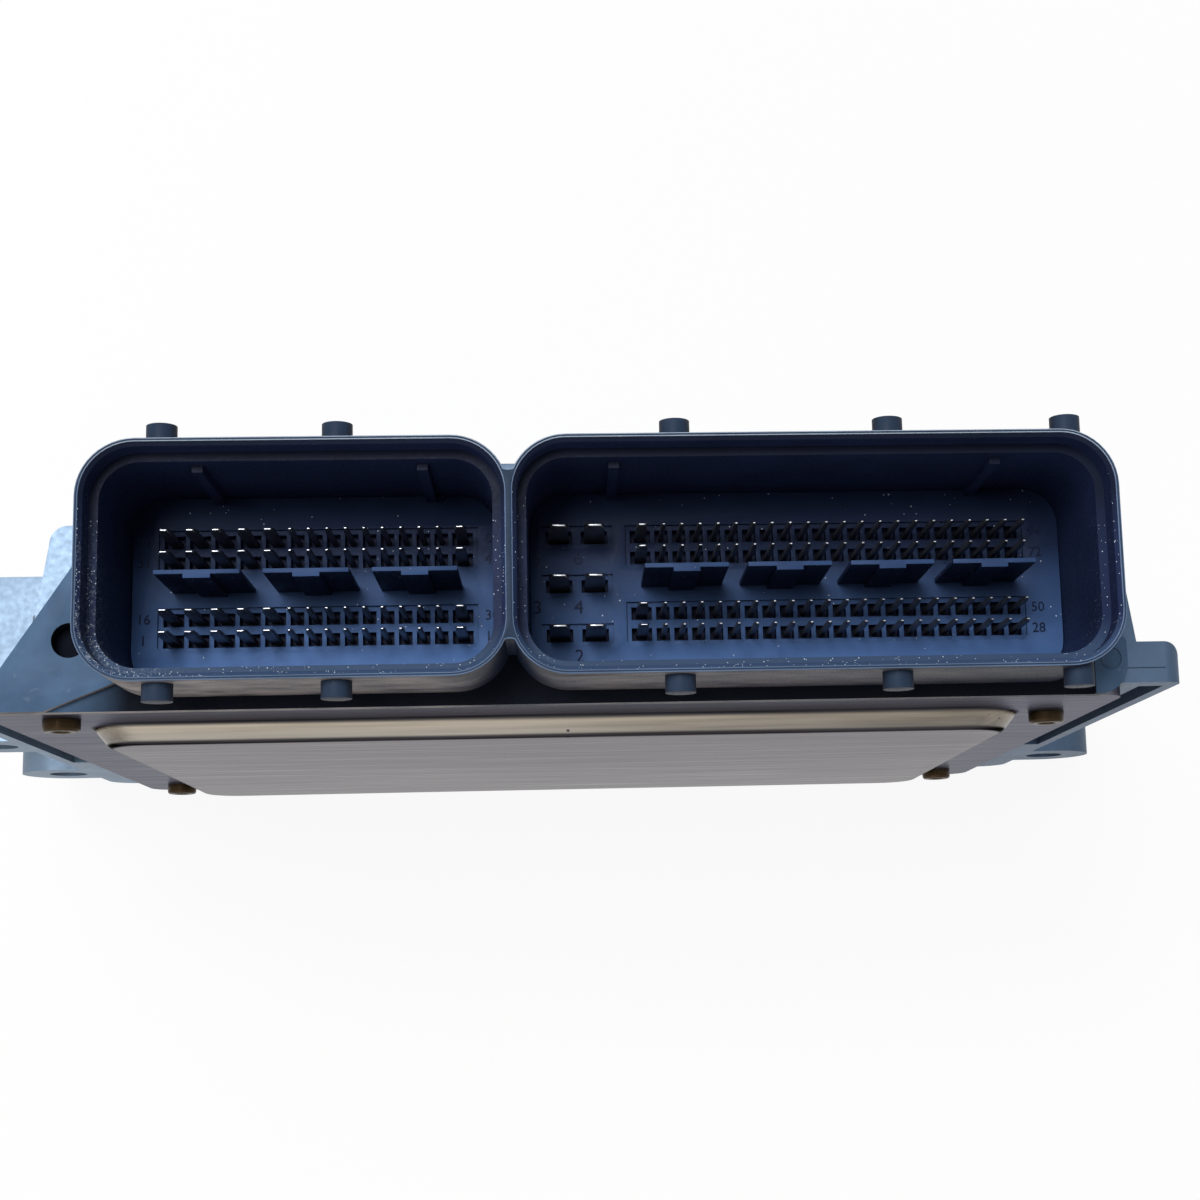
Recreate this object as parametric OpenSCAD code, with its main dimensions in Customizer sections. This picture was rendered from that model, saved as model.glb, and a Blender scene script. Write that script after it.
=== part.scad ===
// Engine control unit: a cast housing, a pressed cover, and a moulded header with two multi-way sockets.
// The unit stands on its flat rear edge. X runs along the sockets, Y from the cover to the main plate,
// and Z out of the socket mouths. The origin is on the rear edge, in line with the middle of the pin rows.

/* [Contact pins] */
// Spacing of the thin signal pins along a row
signal_pitch = 2.5; // [2.2:0.05:2.8]
// Spacing of the wide load pins along a row
load_pitch = 3.5; // [3.2:0.05:4]
// Spacing of the supply blades along a row
supply_pitch = 5; // [4.6:0.1:5.6]
// Spacing of the two rows in a pair
row_pitch = 3; // [2.7:0.1:3.4]
// Distance between the middles of the two row pairs
pair_gap = 11; // [10:0.25:12.5]
// Length of a pin in front of its contact block
pin_reach = 8; // [6:0.5:10]
// Side of a signal pin, and thickness of a load pin
signal_t = 0.63; // [0.5:0.01:0.8]
// Width of a load pin
load_w = 1.5; // [1.2:0.1:1.8]
// Width of a supply blade
supply_w = 2.8; // [2.2:0.1:3.2]
// Thickness of a supply blade
supply_t = 0.8; // [0.6:0.05:1]
// Length of the chamfer at a pin's tip
tip_l = 1; // [0.5:0.1:1.5]

/* [Pin counts] */
// Signal pins in a row of the small socket
a_signals = 9; // [8:1:10]
// Load pins at the left of a row of the small socket
a_loads = 5; // [4:1:6]
// Signal pins in a row of the large socket
k_signals = 21; // [19:1:22]
// Rows of supply blades in the large socket
supply_rows = 3; // [2:1:3]

/* [Sockets] */
// Outer end of the small shroud to its first pin
a_left = 8; // [7:0.25:10]
// Last pin of the small socket to the seam between the shrouds
a_right = 7.15; // [6:0.05:9]
// Seam between the shrouds to the first supply blade
k_left = 6.35; // [5.5:0.05:8]
// Last supply blade to the first load pin
k_gap = 6.5; // [6:0.25:8]
// Last pin of the large socket to the outer end of its shroud
k_right = 9.05; // [8:0.05:11]
// Top pin row to the top of a shroud
row_top = 8.5; // [7.5:0.25:10]
// Bottom pin row to the bottom of a shroud
row_bottom = 9; // [8:0.25:10]
// Wall of a shroud
shroud_wall = 2.2; // [1.8:0.1:2.6]
// Outer corner radius of a shroud
shroud_r = 7.5; // [5:0.25:8.5]
// Length of a shroud in front of the header's flange
shroud_reach = 14.5; // [12:0.5:18]
// Depth of the lead-in step inside a rim
step_depth = 4; // [2:0.5:6]
// Width of the lead-in step inside a rim
step_w = 1.2; // [0.8:0.1:1.4]
// Width of a guide rib on a shroud's upper inner wall
guide_w = 1.4; // [1:0.1:2]
// Height of a guide rib
guide_h = 1; // [0.6:0.1:1.6]
// Diameter of a lock peg
peg_d = 4; // [3:0.1:5]
// Height of a lock peg
peg_h = 2.3; // [1.5:0.1:3.5]
// Distance of a lock peg's axis behind the rim
peg_back = 3.3; // [2.6:0.1:5]
// Width of the web that fills the seam between the shrouds
seam_w = 4; // [3.8:0.1:4.2]
// Ends of the seam's web, from the shrouds' top and bottom
seam_end = 4.65; // [4.5:0.05:4.8]
// Radius of the hollow at each end of the seam's web
seam_r = 1.75; // [1.65:0.05:1.85]

/* [Contact blocks] */
// Thickness of a contact block
block_t = 6; // [5:0.5:8]
// Distance of a contact block's face behind the front of the housing
block_sink = 7; // [5:0.5:9]
// Depth of a window around a pin
window_depth = 2.5; // [1.5:0.25:3.5]
// Rib between two windows
window_rib = 0.65; // [0.5:0.05:0.8]
// Height of a window
window_h = 1.8; // [1.5:0.1:2.2]
// Depth of the shallow pocket round a group of windows
pocket_depth = 0.5; // [0.3:0.05:0.8]
// Pocket's edge outside its windows
pocket_edge = 0.7; // [0.5:0.05:0.9]
// Reach of a partition blade in front of its block
blade_reach = 14; // [10:0.5:16]
// Width of a partition blade
blade_w = 11.3; // [9:0.1:12]
// Thickness of a partition blade
blade_t = 0.6; // [0.5:0.05:1]
// Spacing of the partition blades in the small socket
a_blade_pitch = 14.35; // [13:0.05:15]
// Spacing of the partition blades in the large socket
k_blade_pitch = 13.9; // [13:0.05:14.5]
// Width of the rib on a partition blade
blade_rib_w = 3.6; // [2.5:0.1:4.5]
// Thickness of the rib on a partition blade
blade_rib_t = 0.55; // [0.4:0.05:0.9]

/* [Header] */
// Thickness of the header's flange
header_t = 3; // [2:0.25:4]
// Reach of the flange below the shrouds
header_drop = 1.8; // [1.5:0.1:2.4]
// Reach of the flange above and beside the shrouds
header_rise = 2; // [1.8:0.1:2.4]
// Flange's end inside the outer face of the housing's side wall
header_inset = 1.6; // [1:0.1:2.2]
// Half width of the notch in the flange between the shrouds' tops
vee_w = 5; // [4:0.25:6]
// Depth of that notch
vee_depth = 4; // [3:0.25:5]
// Thickness of the web that closes the notch behind the flange
vee_web = 3; // [2:0.25:4]
// Diameter of the hole in the flange's left end
header_hole_d = 4.7; // [3.5:0.1:5]
// Depth of that hole
header_hole_depth = 2.4; // [1.5:0.1:2.6]
// Distance of that hole from the small shroud
header_hole_x = 3.7; // [3.2:0.1:4.2]
// Height of that hole above the shroud's bottom
header_hole_y = 7.7; // [6.5:0.1:9]
// Height of the flange's left edge under its slanted corner
header_lip = 1; // [0.8:0.1:2.5]
// Slope of the flange's slanted corner
header_slope = 1.5; // [1.3:0.02:1.6]
// Radius of the flange's lower right corner
header_end_r = 4; // [2:0.5:6]
// Height of the flange's wide right end above the shroud's bottom
header_right_y = 5.5; // [4.5:0.1:7]
// Depth of the step in the flange's strip below the shrouds
strip_depth = 1; // [0.5:0.1:1.5]
// Left end of that strip outside the small shroud
strip_left = 6.85; // [5.5:0.05:8]
// Slope of the strip's left end
strip_slope = 0.4; // [0.3:0.02:0.6]
// Right end of that strip inside the large shroud's end
strip_right = 0.75; // [0:0.05:2]
// Diameter of the round mark on the flange's right end
mark_d = 3; // [2:0.1:4]
// Depth of the round mark
mark_depth = 0.25; // [0.1:0.05:0.5]
// Room round the shrouds in the housing's mouth
mouth_gap = 0.3; // [0.2:0.05:0.6]

/* [Case] */
// Width of the case beside the small shroud
left_shoulder = 17.5; // [16:0.25:22]
// Width of the case beside the large shroud
right_shoulder = 5.45; // [5:0.05:8]
// Depth of the housing from its rear edge to its front
case_depth = 119; // [114:1:140]
// Wall of the housing
wall = 4; // [3.2:0.1:4.5]
// Thickness of the main plate
plate_t = 3; // [2.5:0.25:5]
// Room between a shroud's top and the main plate
plate_gap = 0.5; // [0.3:0.05:1]
// Width of a side rail
rail_w = 7; // [5:0.2:9]
// Height of a side rail
rail_h = 5.7; // [5:0.1:8]
// Radius of a side rail's outer edge
rail_r = 2.5; // [1.5:0.25:3]
// Radius of the housing's rear corners
corner_r = 5; // [3:0.5:7]
// Lean of the side walls' outer faces
wall_lean = 3.4; // [2:0.1:4]
// Width of the shoulder on the left wall
shoulder_w = 3.9; // [3:0.1:5]
// Radius of the shoulder's edge
shoulder_r = 2.5; // [1.5:0.1:3]
// Number of cooling ribs on the main plate
ribs = 9; // [5:2:11]
// Spacing of the cooling ribs
rib_pitch = 12; // [10:0.5:13]
// Length of a cooling rib
rib_l = 73; // [60:1:74]
// Height of a cooling rib
rib_h = 2; // [1:0.25:3]
// Width of a cooling rib
rib_w = 2.4; // [1.6:0.2:4]

/* [Mounting lugs] */
// Reach of a lug's hole axis outside the side wall
lug_reach = 11; // [10:0.5:14]
// Radius of a lug's round end
lug_r = 8; // [7:0.25:9]
// Height of a lug
lug_h = 26; // [18:1:30]
// Diameter of a lug's hole
lug_hole_d = 6.6; // [5.5:0.1:8.5]
// Height of the front lug above the rear edge
lug_front_z = 66; // [58:1:74]
// Height of the rear lugs above the rear edge
lug_rear_z = 20; // [14:1:30]

/* [Cover] */
// Thickness of the cover's sheet
sheet_t = 1.5; // [1:0.1:2]
// Rise of the cover's panel
panel_rise = 2.9; // [2:0.1:4.5]
// Run of the panel's sloping flank
panel_flank = 2.2; // [1.5:0.1:4]
// Cover's edge to the panel's foot at the sides
panel_side = 11.2; // [10.8:0.1:14]
// Cover's front edge to the panel's foot
panel_front = 12.4; // [10:0.2:18]
// Cover's rear edge to the panel's foot
panel_rear = 14; // [12:0.5:24]
// Corner radius of the panel
panel_r = 7; // [5:0.5:12]
// Cover's edge inside the outline of the housing
cover_inset = 0.8; // [0.5:0.1:1.5]

/* [Circuit board] */
// Thickness of the circuit board
board_t = 1.6; // [1:0.1:2.4]
// Room between the circuit board and the main plate
board_gap = 6; // [5:0.25:7.5]
// Board's right edge outside the last pin
board_edge = 2; // [1.6:0.1:2.2]
// Board's left edge inside the small shroud's outer end
board_in = 0.8; // [0.6:0.1:1.5]
// Room between the board's edge and the housing's rear wall
board_room = 2; // [1.5:0.1:3]
// Distance of the first pin leg behind the contact blocks
leg_in = 3; // [2.5:0.1:4]
// Reach of a pin leg through the board
leg_out = 1; // [0.6:0.1:1.6]
// Step between the legs of two pin rows on the board
leg_step = 3.5; // [3:0.25:4.2]

/* [Board parts] */
// Room between neighbouring parts
part_gap = 4; // [3:0.25:4.5]
// Width of a power transistor
mosfet_w = 10; // [8:0.5:11]
// Length of a power transistor
mosfet_l = 11; // [9:0.5:13]
// Height of a power transistor
mosfet_h = 2.3; // [1.5:0.1:3]
// Thickness of a thermal pad
pad_t = 0.8; // [0.5:0.1:1.5]
// Diameter of a boost capacitor
capacitor_d = 14; // [10:0.5:15]
// Height of a boost capacitor
capacitor_h = 18; // [12:0.5:20]
// Side of a power inductor
inductor_w = 12; // [9:0.5:14]
// Height of a power inductor
inductor_h = 6; // [4:0.25:8]
// Side of the microcontroller
cpu_w = 24; // [18:0.5:26]
// Side of a driver chip
driver_w = 11; // [8:0.5:12]
// Height of the microcontroller and the driver chips
chip_h = 1.8; // [1.2:0.1:2.5]
// Width of a memory chip
flash_w = 14; // [10:0.5:15]
// Length of a memory chip
flash_l = 10; // [7:0.5:11]
// Width of a shunt resistor
shunt_w = 3.2; // [2:0.1:4]
// Length of a shunt resistor
shunt_l = 6.4; // [5:0.1:7]
// Width of a ceramic capacitor
ceramic_w = 1.3; // [0.8:0.1:1.6]
// Length of a ceramic capacitor
ceramic_l = 2; // [1.6:0.1:3.2]
// Height of the small parts
small_h = 1.2; // [0.6:0.1:1.6]
// Length of the crystal's can
crystal_l = 5; // [3:0.1:6]
// Side of the pressure sensor
sensor_w = 7; // [5:0.25:8]
// Height of the pressure sensor's body
sensor_h = 2.5; // [1.5:0.1:3.5]

/* [Fasteners and seals] */
// Thread of a cover screw
cover_screw_d = 3; // [2.5:0.25:3.5]
// Head of a cover screw
cover_head_d = 5.2; // [4.8:0.1:5.6]
// Height of a cover screw's head
cover_head_h = 1.6; // [1.2:0.1:2.4]
// Drive socket in a cover screw's head
cover_drive_d = 2.2; // [1.6:0.1:2.6]
// Length of a cover screw under its head
cover_screw_l = 10; // [7:0.5:12]
// Distance of a cover screw from the housing's side
cover_screw_in = 7.5; // [7:0.1:8]
// Distance of the front left screw from the housing's side
front_screw_in = 10; // [9:0.25:11]
// Distance of a cover screw from the housing's rear edge
rear_screw_in = 9.5; // [9:0.1:10.5]
// Boss round a cover screw
screw_boss_d = 8.4; // [8:0.1:9]
// Wall round a screw's bore in its boss
boss_wall = 2.2; // [1.8:0.1:2.6]
// Solid end of a boss past its screw
boss_end = 3; // [2:0.25:4]
// Thread of a board screw
board_screw_d = 3; // [2.5:0.1:3.5]
// Head of a board screw
board_head_d = 6; // [5:0.2:6.5]
// Height of a board screw's head
board_head_h = 2; // [1.4:0.1:2.8]
// Width of a sealing bead
seal_w = 1.8; // [1.2:0.1:2.2]
// Height of a sealing bead
seal_h = 1.2; // [0.8:0.1:1.6]
// Width of the header's sealing bead
bead_w = 0.9; // [0.6:0.05:1.1]
// Diameter of the vent's stem
vent_d = 8; // [6:0.5:9]
// Diameter of the vent's cap
vent_cap_d = 14; // [12:0.5:17]
// Height of the vent's cap
vent_cap_h = 2.6; // [2:0.2:4]
// Width of a slot in the vent's cap
vent_slot = 1.5; // [1:0.1:2.5]
// Case's left side to the middle of the vent
vent_in = 34; // [28:0.5:40]
// Gap between the ends of the ribs and the vent's cap
vent_gap = 2.9; // [2:0.1:5]
// Thickness of the vent's membrane
membrane_t = 0.4; // [0.2:0.05:0.8]

/* [Fits] */
// Clearance between pieces that slot together
fit = 0.1; // [0.05:0.01:0.15]

/* [Hidden] */
$fn = 48;

// Overlap that makes a cut come out clean
cut = 1;
// Straight pieces in a rounded corner
corner_steps = 8;

// Socket widths follow from the pins
mixed_pitch = (signal_pitch + load_pitch) / 2;
a_w = a_left + (a_loads - 1) * load_pitch + (a_signals - 1) * signal_pitch + 2 * mixed_pitch + a_right;
k_w = k_left + supply_pitch + k_gap + mixed_pitch + (k_signals - 1) * signal_pitch + k_right;
case_w = left_shoulder + a_w + k_w + right_shoulder;

// Places along X
case_x = case_w / 2;
a_x0 = -case_x + left_shoulder;
k_x0 = a_x0 + a_w;
k_x1 = k_x0 + k_w;
a_load_x = a_x0 + a_left;
a_signal_x = a_load_x + (a_loads - 1) * load_pitch + mixed_pitch;
a_last_x = a_signal_x + (a_signals - 1) * signal_pitch + mixed_pitch;
k_supply_x = k_x0 + k_left;
k_load_x = k_supply_x + supply_pitch + k_gap;
k_signal_x = k_load_x + mixed_pitch;
k_last_x = k_signal_x + (k_signals - 1) * signal_pitch;
a_load_xs = concat([for (i = [0 : a_loads - 1]) a_load_x + i * load_pitch], [a_last_x]);
a_signal_xs = [for (i = [0 : a_signals - 1]) a_signal_x + i * signal_pitch];
k_signal_xs = [for (i = [0 : k_signals - 1]) k_signal_x + i * signal_pitch];
k_supply_xs = [k_supply_x, k_supply_x + supply_pitch];
signal_window = signal_pitch - window_rib;
load_window = load_pitch - window_rib;
supply_window = supply_pitch - 2 * window_rib;
a_mid_x = (a_load_x + a_last_x) / 2;
k_mid_x = (k_load_x + k_last_x) / 2;

// Places along Y
row_out = (pair_gap + row_pitch) / 2;
row_in = (pair_gap - row_pitch) / 2;
row_ys = [row_out, row_in, -row_in, -row_out];
supply_ys = [for (i = [0 : supply_rows - 1]) row_out - i * 2 * row_out / (supply_rows - 1)];
shroud_top = row_out + row_top;
seat_y = -row_out - row_bottom;
shroud_h = shroud_top - seat_y;
plate_in = shroud_top + plate_gap;
plate_out = plate_in + plate_t;
cover_y = seat_y - sheet_t;
panel_y = cover_y - panel_rise;
arch_y = shroud_top - shroud_r;
shell_r = plate_out - arch_y;
board_top = plate_in - board_gap;
board_y = board_top - board_t;

// Places along Z
block_z = case_depth - block_sink;
tip_z = block_z + pin_reach;
rear_z = block_z - block_t;
flange_z = case_depth + header_t;
rim_z = flange_z + shroud_reach;
peg_z = rim_z - peg_back;
board_z0 = wall + board_room;
board_z1 = rear_z - board_room / 2;
leg_z = [for (i = [0 : 3]) rear_z - leg_in - i * leg_step];

// Header outline
mouth_x0 = a_x0 - mouth_gap;
mouth_x1 = k_x1 + mouth_gap;
header_x = case_x - header_inset;
header_y0 = seat_y - header_drop;
header_y1 = shroud_top + header_rise;
arch_x0 = a_x0 + shroud_r;
arch_x1 = k_x1 - shroud_r;
wall_x0 = arch_x0 - shell_r - shoulder_w;
wall_x1 = arch_x1 + shell_r;
header_hole = [a_x0 - header_hole_x, seat_y + header_hole_y];

// Places of the lock pegs and the guide ribs, as shares of a shroud's width
a_peg_shares = [0.187, 0.597];
k_peg_shares = [0.273, 0.627, 0.925];
a_guide_shares = [0.261, 0.793];
k_guide_shares = [0.173, 0.812];
peg_xs = concat([for (s = a_peg_shares) a_x0 + s * a_w], [for (s = k_peg_shares) k_x0 + s * k_w]);
guide_xs = concat([for (s = a_guide_shares) a_x0 + s * a_w], [for (s = k_guide_shares) k_x0 + s * k_w]);

// Board furniture
board_x0 = a_x0 + board_in;
board_x1 = k_last_x + board_edge;
free_l = leg_z[3] - board_z0;
boss_d = board_screw_d + 2 * boss_wall;
boss_in = board_head_d + board_room;
boss_xs = [board_x0 + boss_in, 0, board_x1 - boss_in];
boss_zs = [board_z0 + board_head_d, board_z0 + 0.67 * free_l];
pedestal_y = board_top + mosfet_h + pad_t;

// Rows of parts, as shares of the board's free length behind the pin legs
rear_row_z = board_z0 + 0.25 * free_l;
cpu_z = board_z0 + 0.44 * free_l;
inductor_z = board_z0 + 0.49 * free_l;
front_row_z = board_z0 + 0.83 * free_l;

// Places of the parts along X
coil_pitch = capacitor_d + 0.75 * part_gap;
coil_xs = [for (i = [0 : 2]) board_x0 + 0.6 * capacitor_d + i * coil_pitch];
mosfet_pitch = mosfet_w + 1.5 * part_gap;
mosfet_xs = [for (i = [-2 : 2]) (i + 0.5) * mosfet_pitch];
cpu_x = board_x1 / 3;
flash_x = cpu_x + (cpu_w + flash_w) / 2 + part_gap;
sensor_x = flash_x + 2 * part_gap;
sensor_z = cpu_z - flash_l - part_gap - sensor_w / 2;

// Cover screws and seal
screw_x = case_x - cover_screw_in;
screw_places = [[-screw_x, rear_screw_in], [0, rear_screw_in], [screw_x, rear_screw_in],
    [screw_x, rear_z - cover_screw_in], [-case_x + front_screw_in, case_depth - rear_screw_in]];
screw_boss_y = seat_y + cover_screw_l + boss_end;
seal_in = wall / 2;
vent_place = [-case_x + vent_in, wall + rib_l + vent_gap + vent_cap_d / 2];

// Points along a corner, from one angle to the next
function corner(middle, r, from, to) =
    [for (i = [0 : corner_steps]) let (a = from + (to - from) * i / corner_steps)
        middle + r * [cos(a), sin(a)]];

// A box between two corners
module box(low, high) {
    translate(low) cube(high - low);
}

// A plan drawn in X and Z, standing from y0 up to y1
module rise_y(y0, y1) {
    translate([0, y1, 0]) rotate([90, 0, 0]) linear_extrude(y1 - y0) children();
}

// A side view drawn in Z and Y, given a width along X
module spread_x(x, w) {
    translate([x, 0, 0]) rotate([0, -90, 0]) linear_extrude(w, center = true) children();
}

// A round post along Y
module post_y(x, z, d, y0, y1) {
    translate([x, y1, z]) rotate([90, 0, 0]) cylinder(d = d, h = y1 - y0);
}

// A rectangle with round corners, from x0, y0 over w and h
module rounded(x0, y0, w, h, r) {
    translate([x0 + r, y0]) square([w - 2 * r, h]);
    translate([x0, y0 + r]) square([w, h - 2 * r]);
    for (x = [x0 + r, x0 + w - r]) for (y = [y0 + r, y0 + h - r]) translate([x, y]) circle(r);
}

// Section of a shroud, made smaller all round by inset
module shroud_section(x0, w, inset) {
    rounded(x0 + inset, seat_y + inset, w - 2 * inset, shroud_h - 2 * inset, shroud_r - inset);
}

// Arch over the two shrouds, seen along Z, with corners of radius r round the shrouds' own
module arch(r, y0) {
    polygon(concat([[arch_x0 - r, y0], [arch_x1 + r, y0]],
        corner([arch_x1, arch_y], r, 0, 90), corner([arch_x0, arch_y], r, 90, 180)));
}

// Section of the housing's shell, seen along Z, made smaller by inset
module shell_section(inset, lean) {
    x0 = wall_x0 + inset;
    x1 = wall_x1 - inset;
    y = arch_y - inset;
    polygon(concat([[x0 - lean, seat_y], [x1 + lean, seat_y]],
        corner([arch_x1, arch_y], shell_r - inset, 0, 90),
        corner([arch_x0, arch_y], shell_r - inset, 90, 180),
        inset > 0 ? [[x0 + shoulder_w, y]] : [],
        corner([x0 + shoulder_r, y - shoulder_r], shoulder_r, 90, 180)));
}

// Outline of the housing's shell, seen along Y
module housing_outline() {
    x0 = wall_x0 - wall_lean;
    x1 = wall_x1 + wall_lean;
    polygon(concat(
        corner([x0 + corner_r, corner_r], corner_r, 180, 270),
        corner([x1 - corner_r, corner_r], corner_r, 270, 360),
        [[x1, case_depth], [x0, case_depth]]));
}

// Inside of the housing, open to the cover and at the header's mouth
module housing_inside() {
    translate([0, 0, wall]) linear_extrude(case_depth - 2 * wall) shell_section(plate_t, 0);
    translate([0, 0, case_depth - wall - cut]) linear_extrude(wall + 2 * cut)
        arch(shroud_r + mouth_gap, seat_y - cut);
    box([wall_x0 + plate_t, seat_y - cut, wall], [wall_x1 - plate_t, seat_y + cut, case_depth - wall]);
}

// Outline of the side rails, seen along Y
module rail_outline() {
    x = case_x + rail_w;
    polygon(concat(
        corner([-x + corner_r, corner_r], corner_r, 180, 270),
        corner([x - corner_r, corner_r], corner_r, 270, 360),
        corner([x - rail_r, case_depth - rail_r], rail_r, 0, 90),
        corner([-x + rail_r, case_depth - rail_r], rail_r, 90, 180)));
}

// Section of the side rails, with round outer edges
module rail_section() {
    x = case_x + rail_w;
    y = seat_y + rail_h;
    polygon(concat(
        [[-x, seat_y], [x, seat_y]],
        corner([x - rail_r, y - rail_r], rail_r, 0, 90),
        corner([-x + rail_r, y - rail_r], rail_r, 90, 180)));
}

// A mounting lug with its web to the side wall; side is -1 or 1
module lug(side, z) {
    x = side * (case_x + lug_reach);
    root_x = side > 0 ? wall_x1 - cut : wall_x0 + cut;
    rise_y(seat_y, seat_y + lug_h) {
        translate([x, z]) circle(lug_r);
        translate([min(x, root_x), z - lug_r]) square([abs(x - root_x), 2 * lug_r]);
    }
}

module lug_hole(side, z) {
    post_y(side * (case_x + lug_reach), z, lug_hole_d, seat_y - cut, seat_y + lug_h + cut);
}

// Ring of a sealing bead round the cover's seat, seen along Y
module seal_ring(grow) {
    half = seal_w / 2 + grow;
    x = case_x - seal_in;
    z0 = seal_in;
    z1 = case_depth - seal_in;
    difference() {
        translate([-x - half, z0 - half]) square([2 * (x + half), z1 - z0 + 2 * half]);
        translate([-x + half, z0 + half]) square([2 * (x - half), z1 - z0 - 2 * half]);
    }
}

// Bead behind the header's flange, over each shroud and down beside it
module header_bead(grow) {
    half = bead_w / 2 + grow;
    r = shroud_r + mouth_gap + bead_w;
    y0 = seat_y + seal_h + seal_w - grow;
    gap_w = vee_w + bead_w - grow;
    difference() {
        arch(r + half, y0);
        arch(r - half, y0 - cut);
        translate([k_x0 - gap_w, arch_y]) square([2 * gap_w, shell_r]);
    }
}

// Cast shell with its main plate, rails, lugs and bosses
module housing() color("slategray") difference() {
    union() {
        difference() {
            union() {
                intersection() {
                    linear_extrude(case_depth) shell_section(0, wall_lean);
                    rise_y(seat_y, plate_out) housing_outline();
                }
                intersection() {
                    linear_extrude(case_depth) rail_section();
                    rise_y(seat_y, seat_y + rail_h) rail_outline();
                }
            }
            housing_inside();
        }
        lug(-1, lug_front_z);
        lug(-1, lug_rear_z);
        lug(1, lug_rear_z);
        for (p = screw_places)
            post_y(p[0], p[1], screw_boss_d, seat_y, screw_boss_y);
        // the rear boss is tied to the rear wall
        box([-boss_wall, seat_y, wall - cut], [boss_wall, screw_boss_y, rear_screw_in]);
        for (x = boss_xs) for (z = boss_zs)
            post_y(x, z, boss_d, board_top, plate_in + cut);
        for (x = mosfet_xs)
            over_board(x, pedestal_y, plate_in + cut);
        for (i = [0 : ribs - 1])
            translate([(i - (ribs - 1) / 2) * rib_pitch - rib_w / 2, plate_out - cut, wall])
                cube([rib_w, rib_h + cut, rib_l]);
    }
    lug_hole(-1, lug_front_z);
    lug_hole(-1, lug_rear_z);
    lug_hole(1, lug_rear_z);
    for (p = screw_places)
        post_y(p[0], p[1], cover_screw_d + fit, seat_y - cut, cover_y + cover_screw_l + boss_end / 2);
    for (x = boss_xs) for (z = boss_zs)
        post_y(x, z, board_screw_d + fit, board_top - cut, plate_in);
    rise_y(seat_y - cut, seat_y + seal_h) seal_ring(fit / 2);
    translate([0, 0, case_depth - seal_h]) linear_extrude(seal_h + cut) header_bead(fit / 2);
    // notch in the plate's front edge, between the shrouds
    box([k_x0 - vee_w, arch_y, rear_z + vee_web / 2], [k_x0 + vee_w, plate_out + cut, case_depth + cut]);
    post_y(vent_place[0], vent_place[1], vent_d + fit, plate_in - cut, plate_out + cut);
    // hollow under each side rail
    for (side = [-1, 1])
        translate([side * (case_x + rail_w / 2) - rail_w / 4, seat_y - cut, wall + 2 * lug_r + lug_rear_z])
            cube([rail_w / 2, rail_h / 2 + cut, case_depth - 2 * wall - 2 * lug_r - lug_rear_z]);
}

// Outline of the cover or of a level of its raised panel, seen along Y
module cover_level(side, front, rear, r) {
    x = case_x - cover_inset - side;
    z0 = cover_inset + rear;
    z1 = case_depth - cover_inset - front;
    rounded(-x, z0, 2 * x, z1 - z0, r);
}

// Raised block of the cover's panel; inset gives the hollow behind it
module panel_block(inset, y0, y1) {
    hull() {
        rise_y(y1 - 0.01, y1)
            cover_level(panel_side + inset, panel_front + inset, panel_rear + inset, panel_r);
        rise_y(y0, y0 + 0.01)
            cover_level(panel_side + panel_flank + inset, panel_front + panel_flank + inset,
                panel_rear + panel_flank + inset, panel_r - panel_flank / 2);
    }
}

// Pressed sheet cover with one raised panel
module cover() color("tan") difference() {
    union() {
        rise_y(cover_y, seat_y) cover_level(0, 0, 0, corner_r - cover_inset);
        panel_block(0, panel_y, cover_y + sheet_t / 2);
    }
    panel_block(sheet_t, panel_y + sheet_t, seat_y + cut);
    for (p = screw_places)
        post_y(p[0], p[1], cover_screw_d + 2 * fit, cover_y - cut, seat_y + cut);
}

// Outline of the header's flange, seen along Z
module flange_outline() {
    r = header_end_r;
    top_r = shroud_r + header_rise;
    side_x = a_x0 - header_rise;
    right_x = k_x1 + header_rise;
    right_y = seat_y + header_right_y;
    lip_y = header_y0 + header_lip;
    polygon(concat(
        [[-header_x, header_y0]],
        corner([header_x - r, header_y0 + r], r, 270, 360),
        [[header_x, right_y], [right_x, right_y + header_x - right_x]],
        corner([arch_x1, arch_y], top_r, 0, 90),
        [[k_x0 + vee_w, header_y1], [k_x0, header_y1 - vee_depth], [k_x0 - vee_w, header_y1]],
        corner([arch_x0, arch_y], top_r, 90, 180),
        [[side_x, lip_y + header_slope * (header_x + side_x)], [-header_x, lip_y]]));
}

// Step in the flange's strip below the shrouds, between its two end plates
module flange_strip() {
    x0 = a_x0 - strip_left;
    x1 = k_x1 - strip_right;
    y1 = seat_y + shroud_r;
    difference() {
        polygon([[x0 - cut / strip_slope, header_y0 - cut], [x1, header_y0 - cut], [x1, y1],
            [x0 + (y1 - header_y0) / strip_slope, y1]]);
        shroud_section(a_x0, a_w, 0);
        shroud_section(k_x0, k_w, 0);
    }
}

// Web in the seam between the shrouds, hollow at its two ends
module seam_web() {
    reach = shroud_h / 2 - seam_end;
    difference() {
        translate([k_x0 - seam_w / 2, shroud_top - shroud_h / 2 - reach - seam_r / 2])
            square([seam_w, 2 * reach + seam_r]);
        for (side = [-1, 1])
            translate([k_x0, shroud_top - shroud_h / 2 + side * (reach + seam_r)]) circle(seam_r);
    }
}

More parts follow.
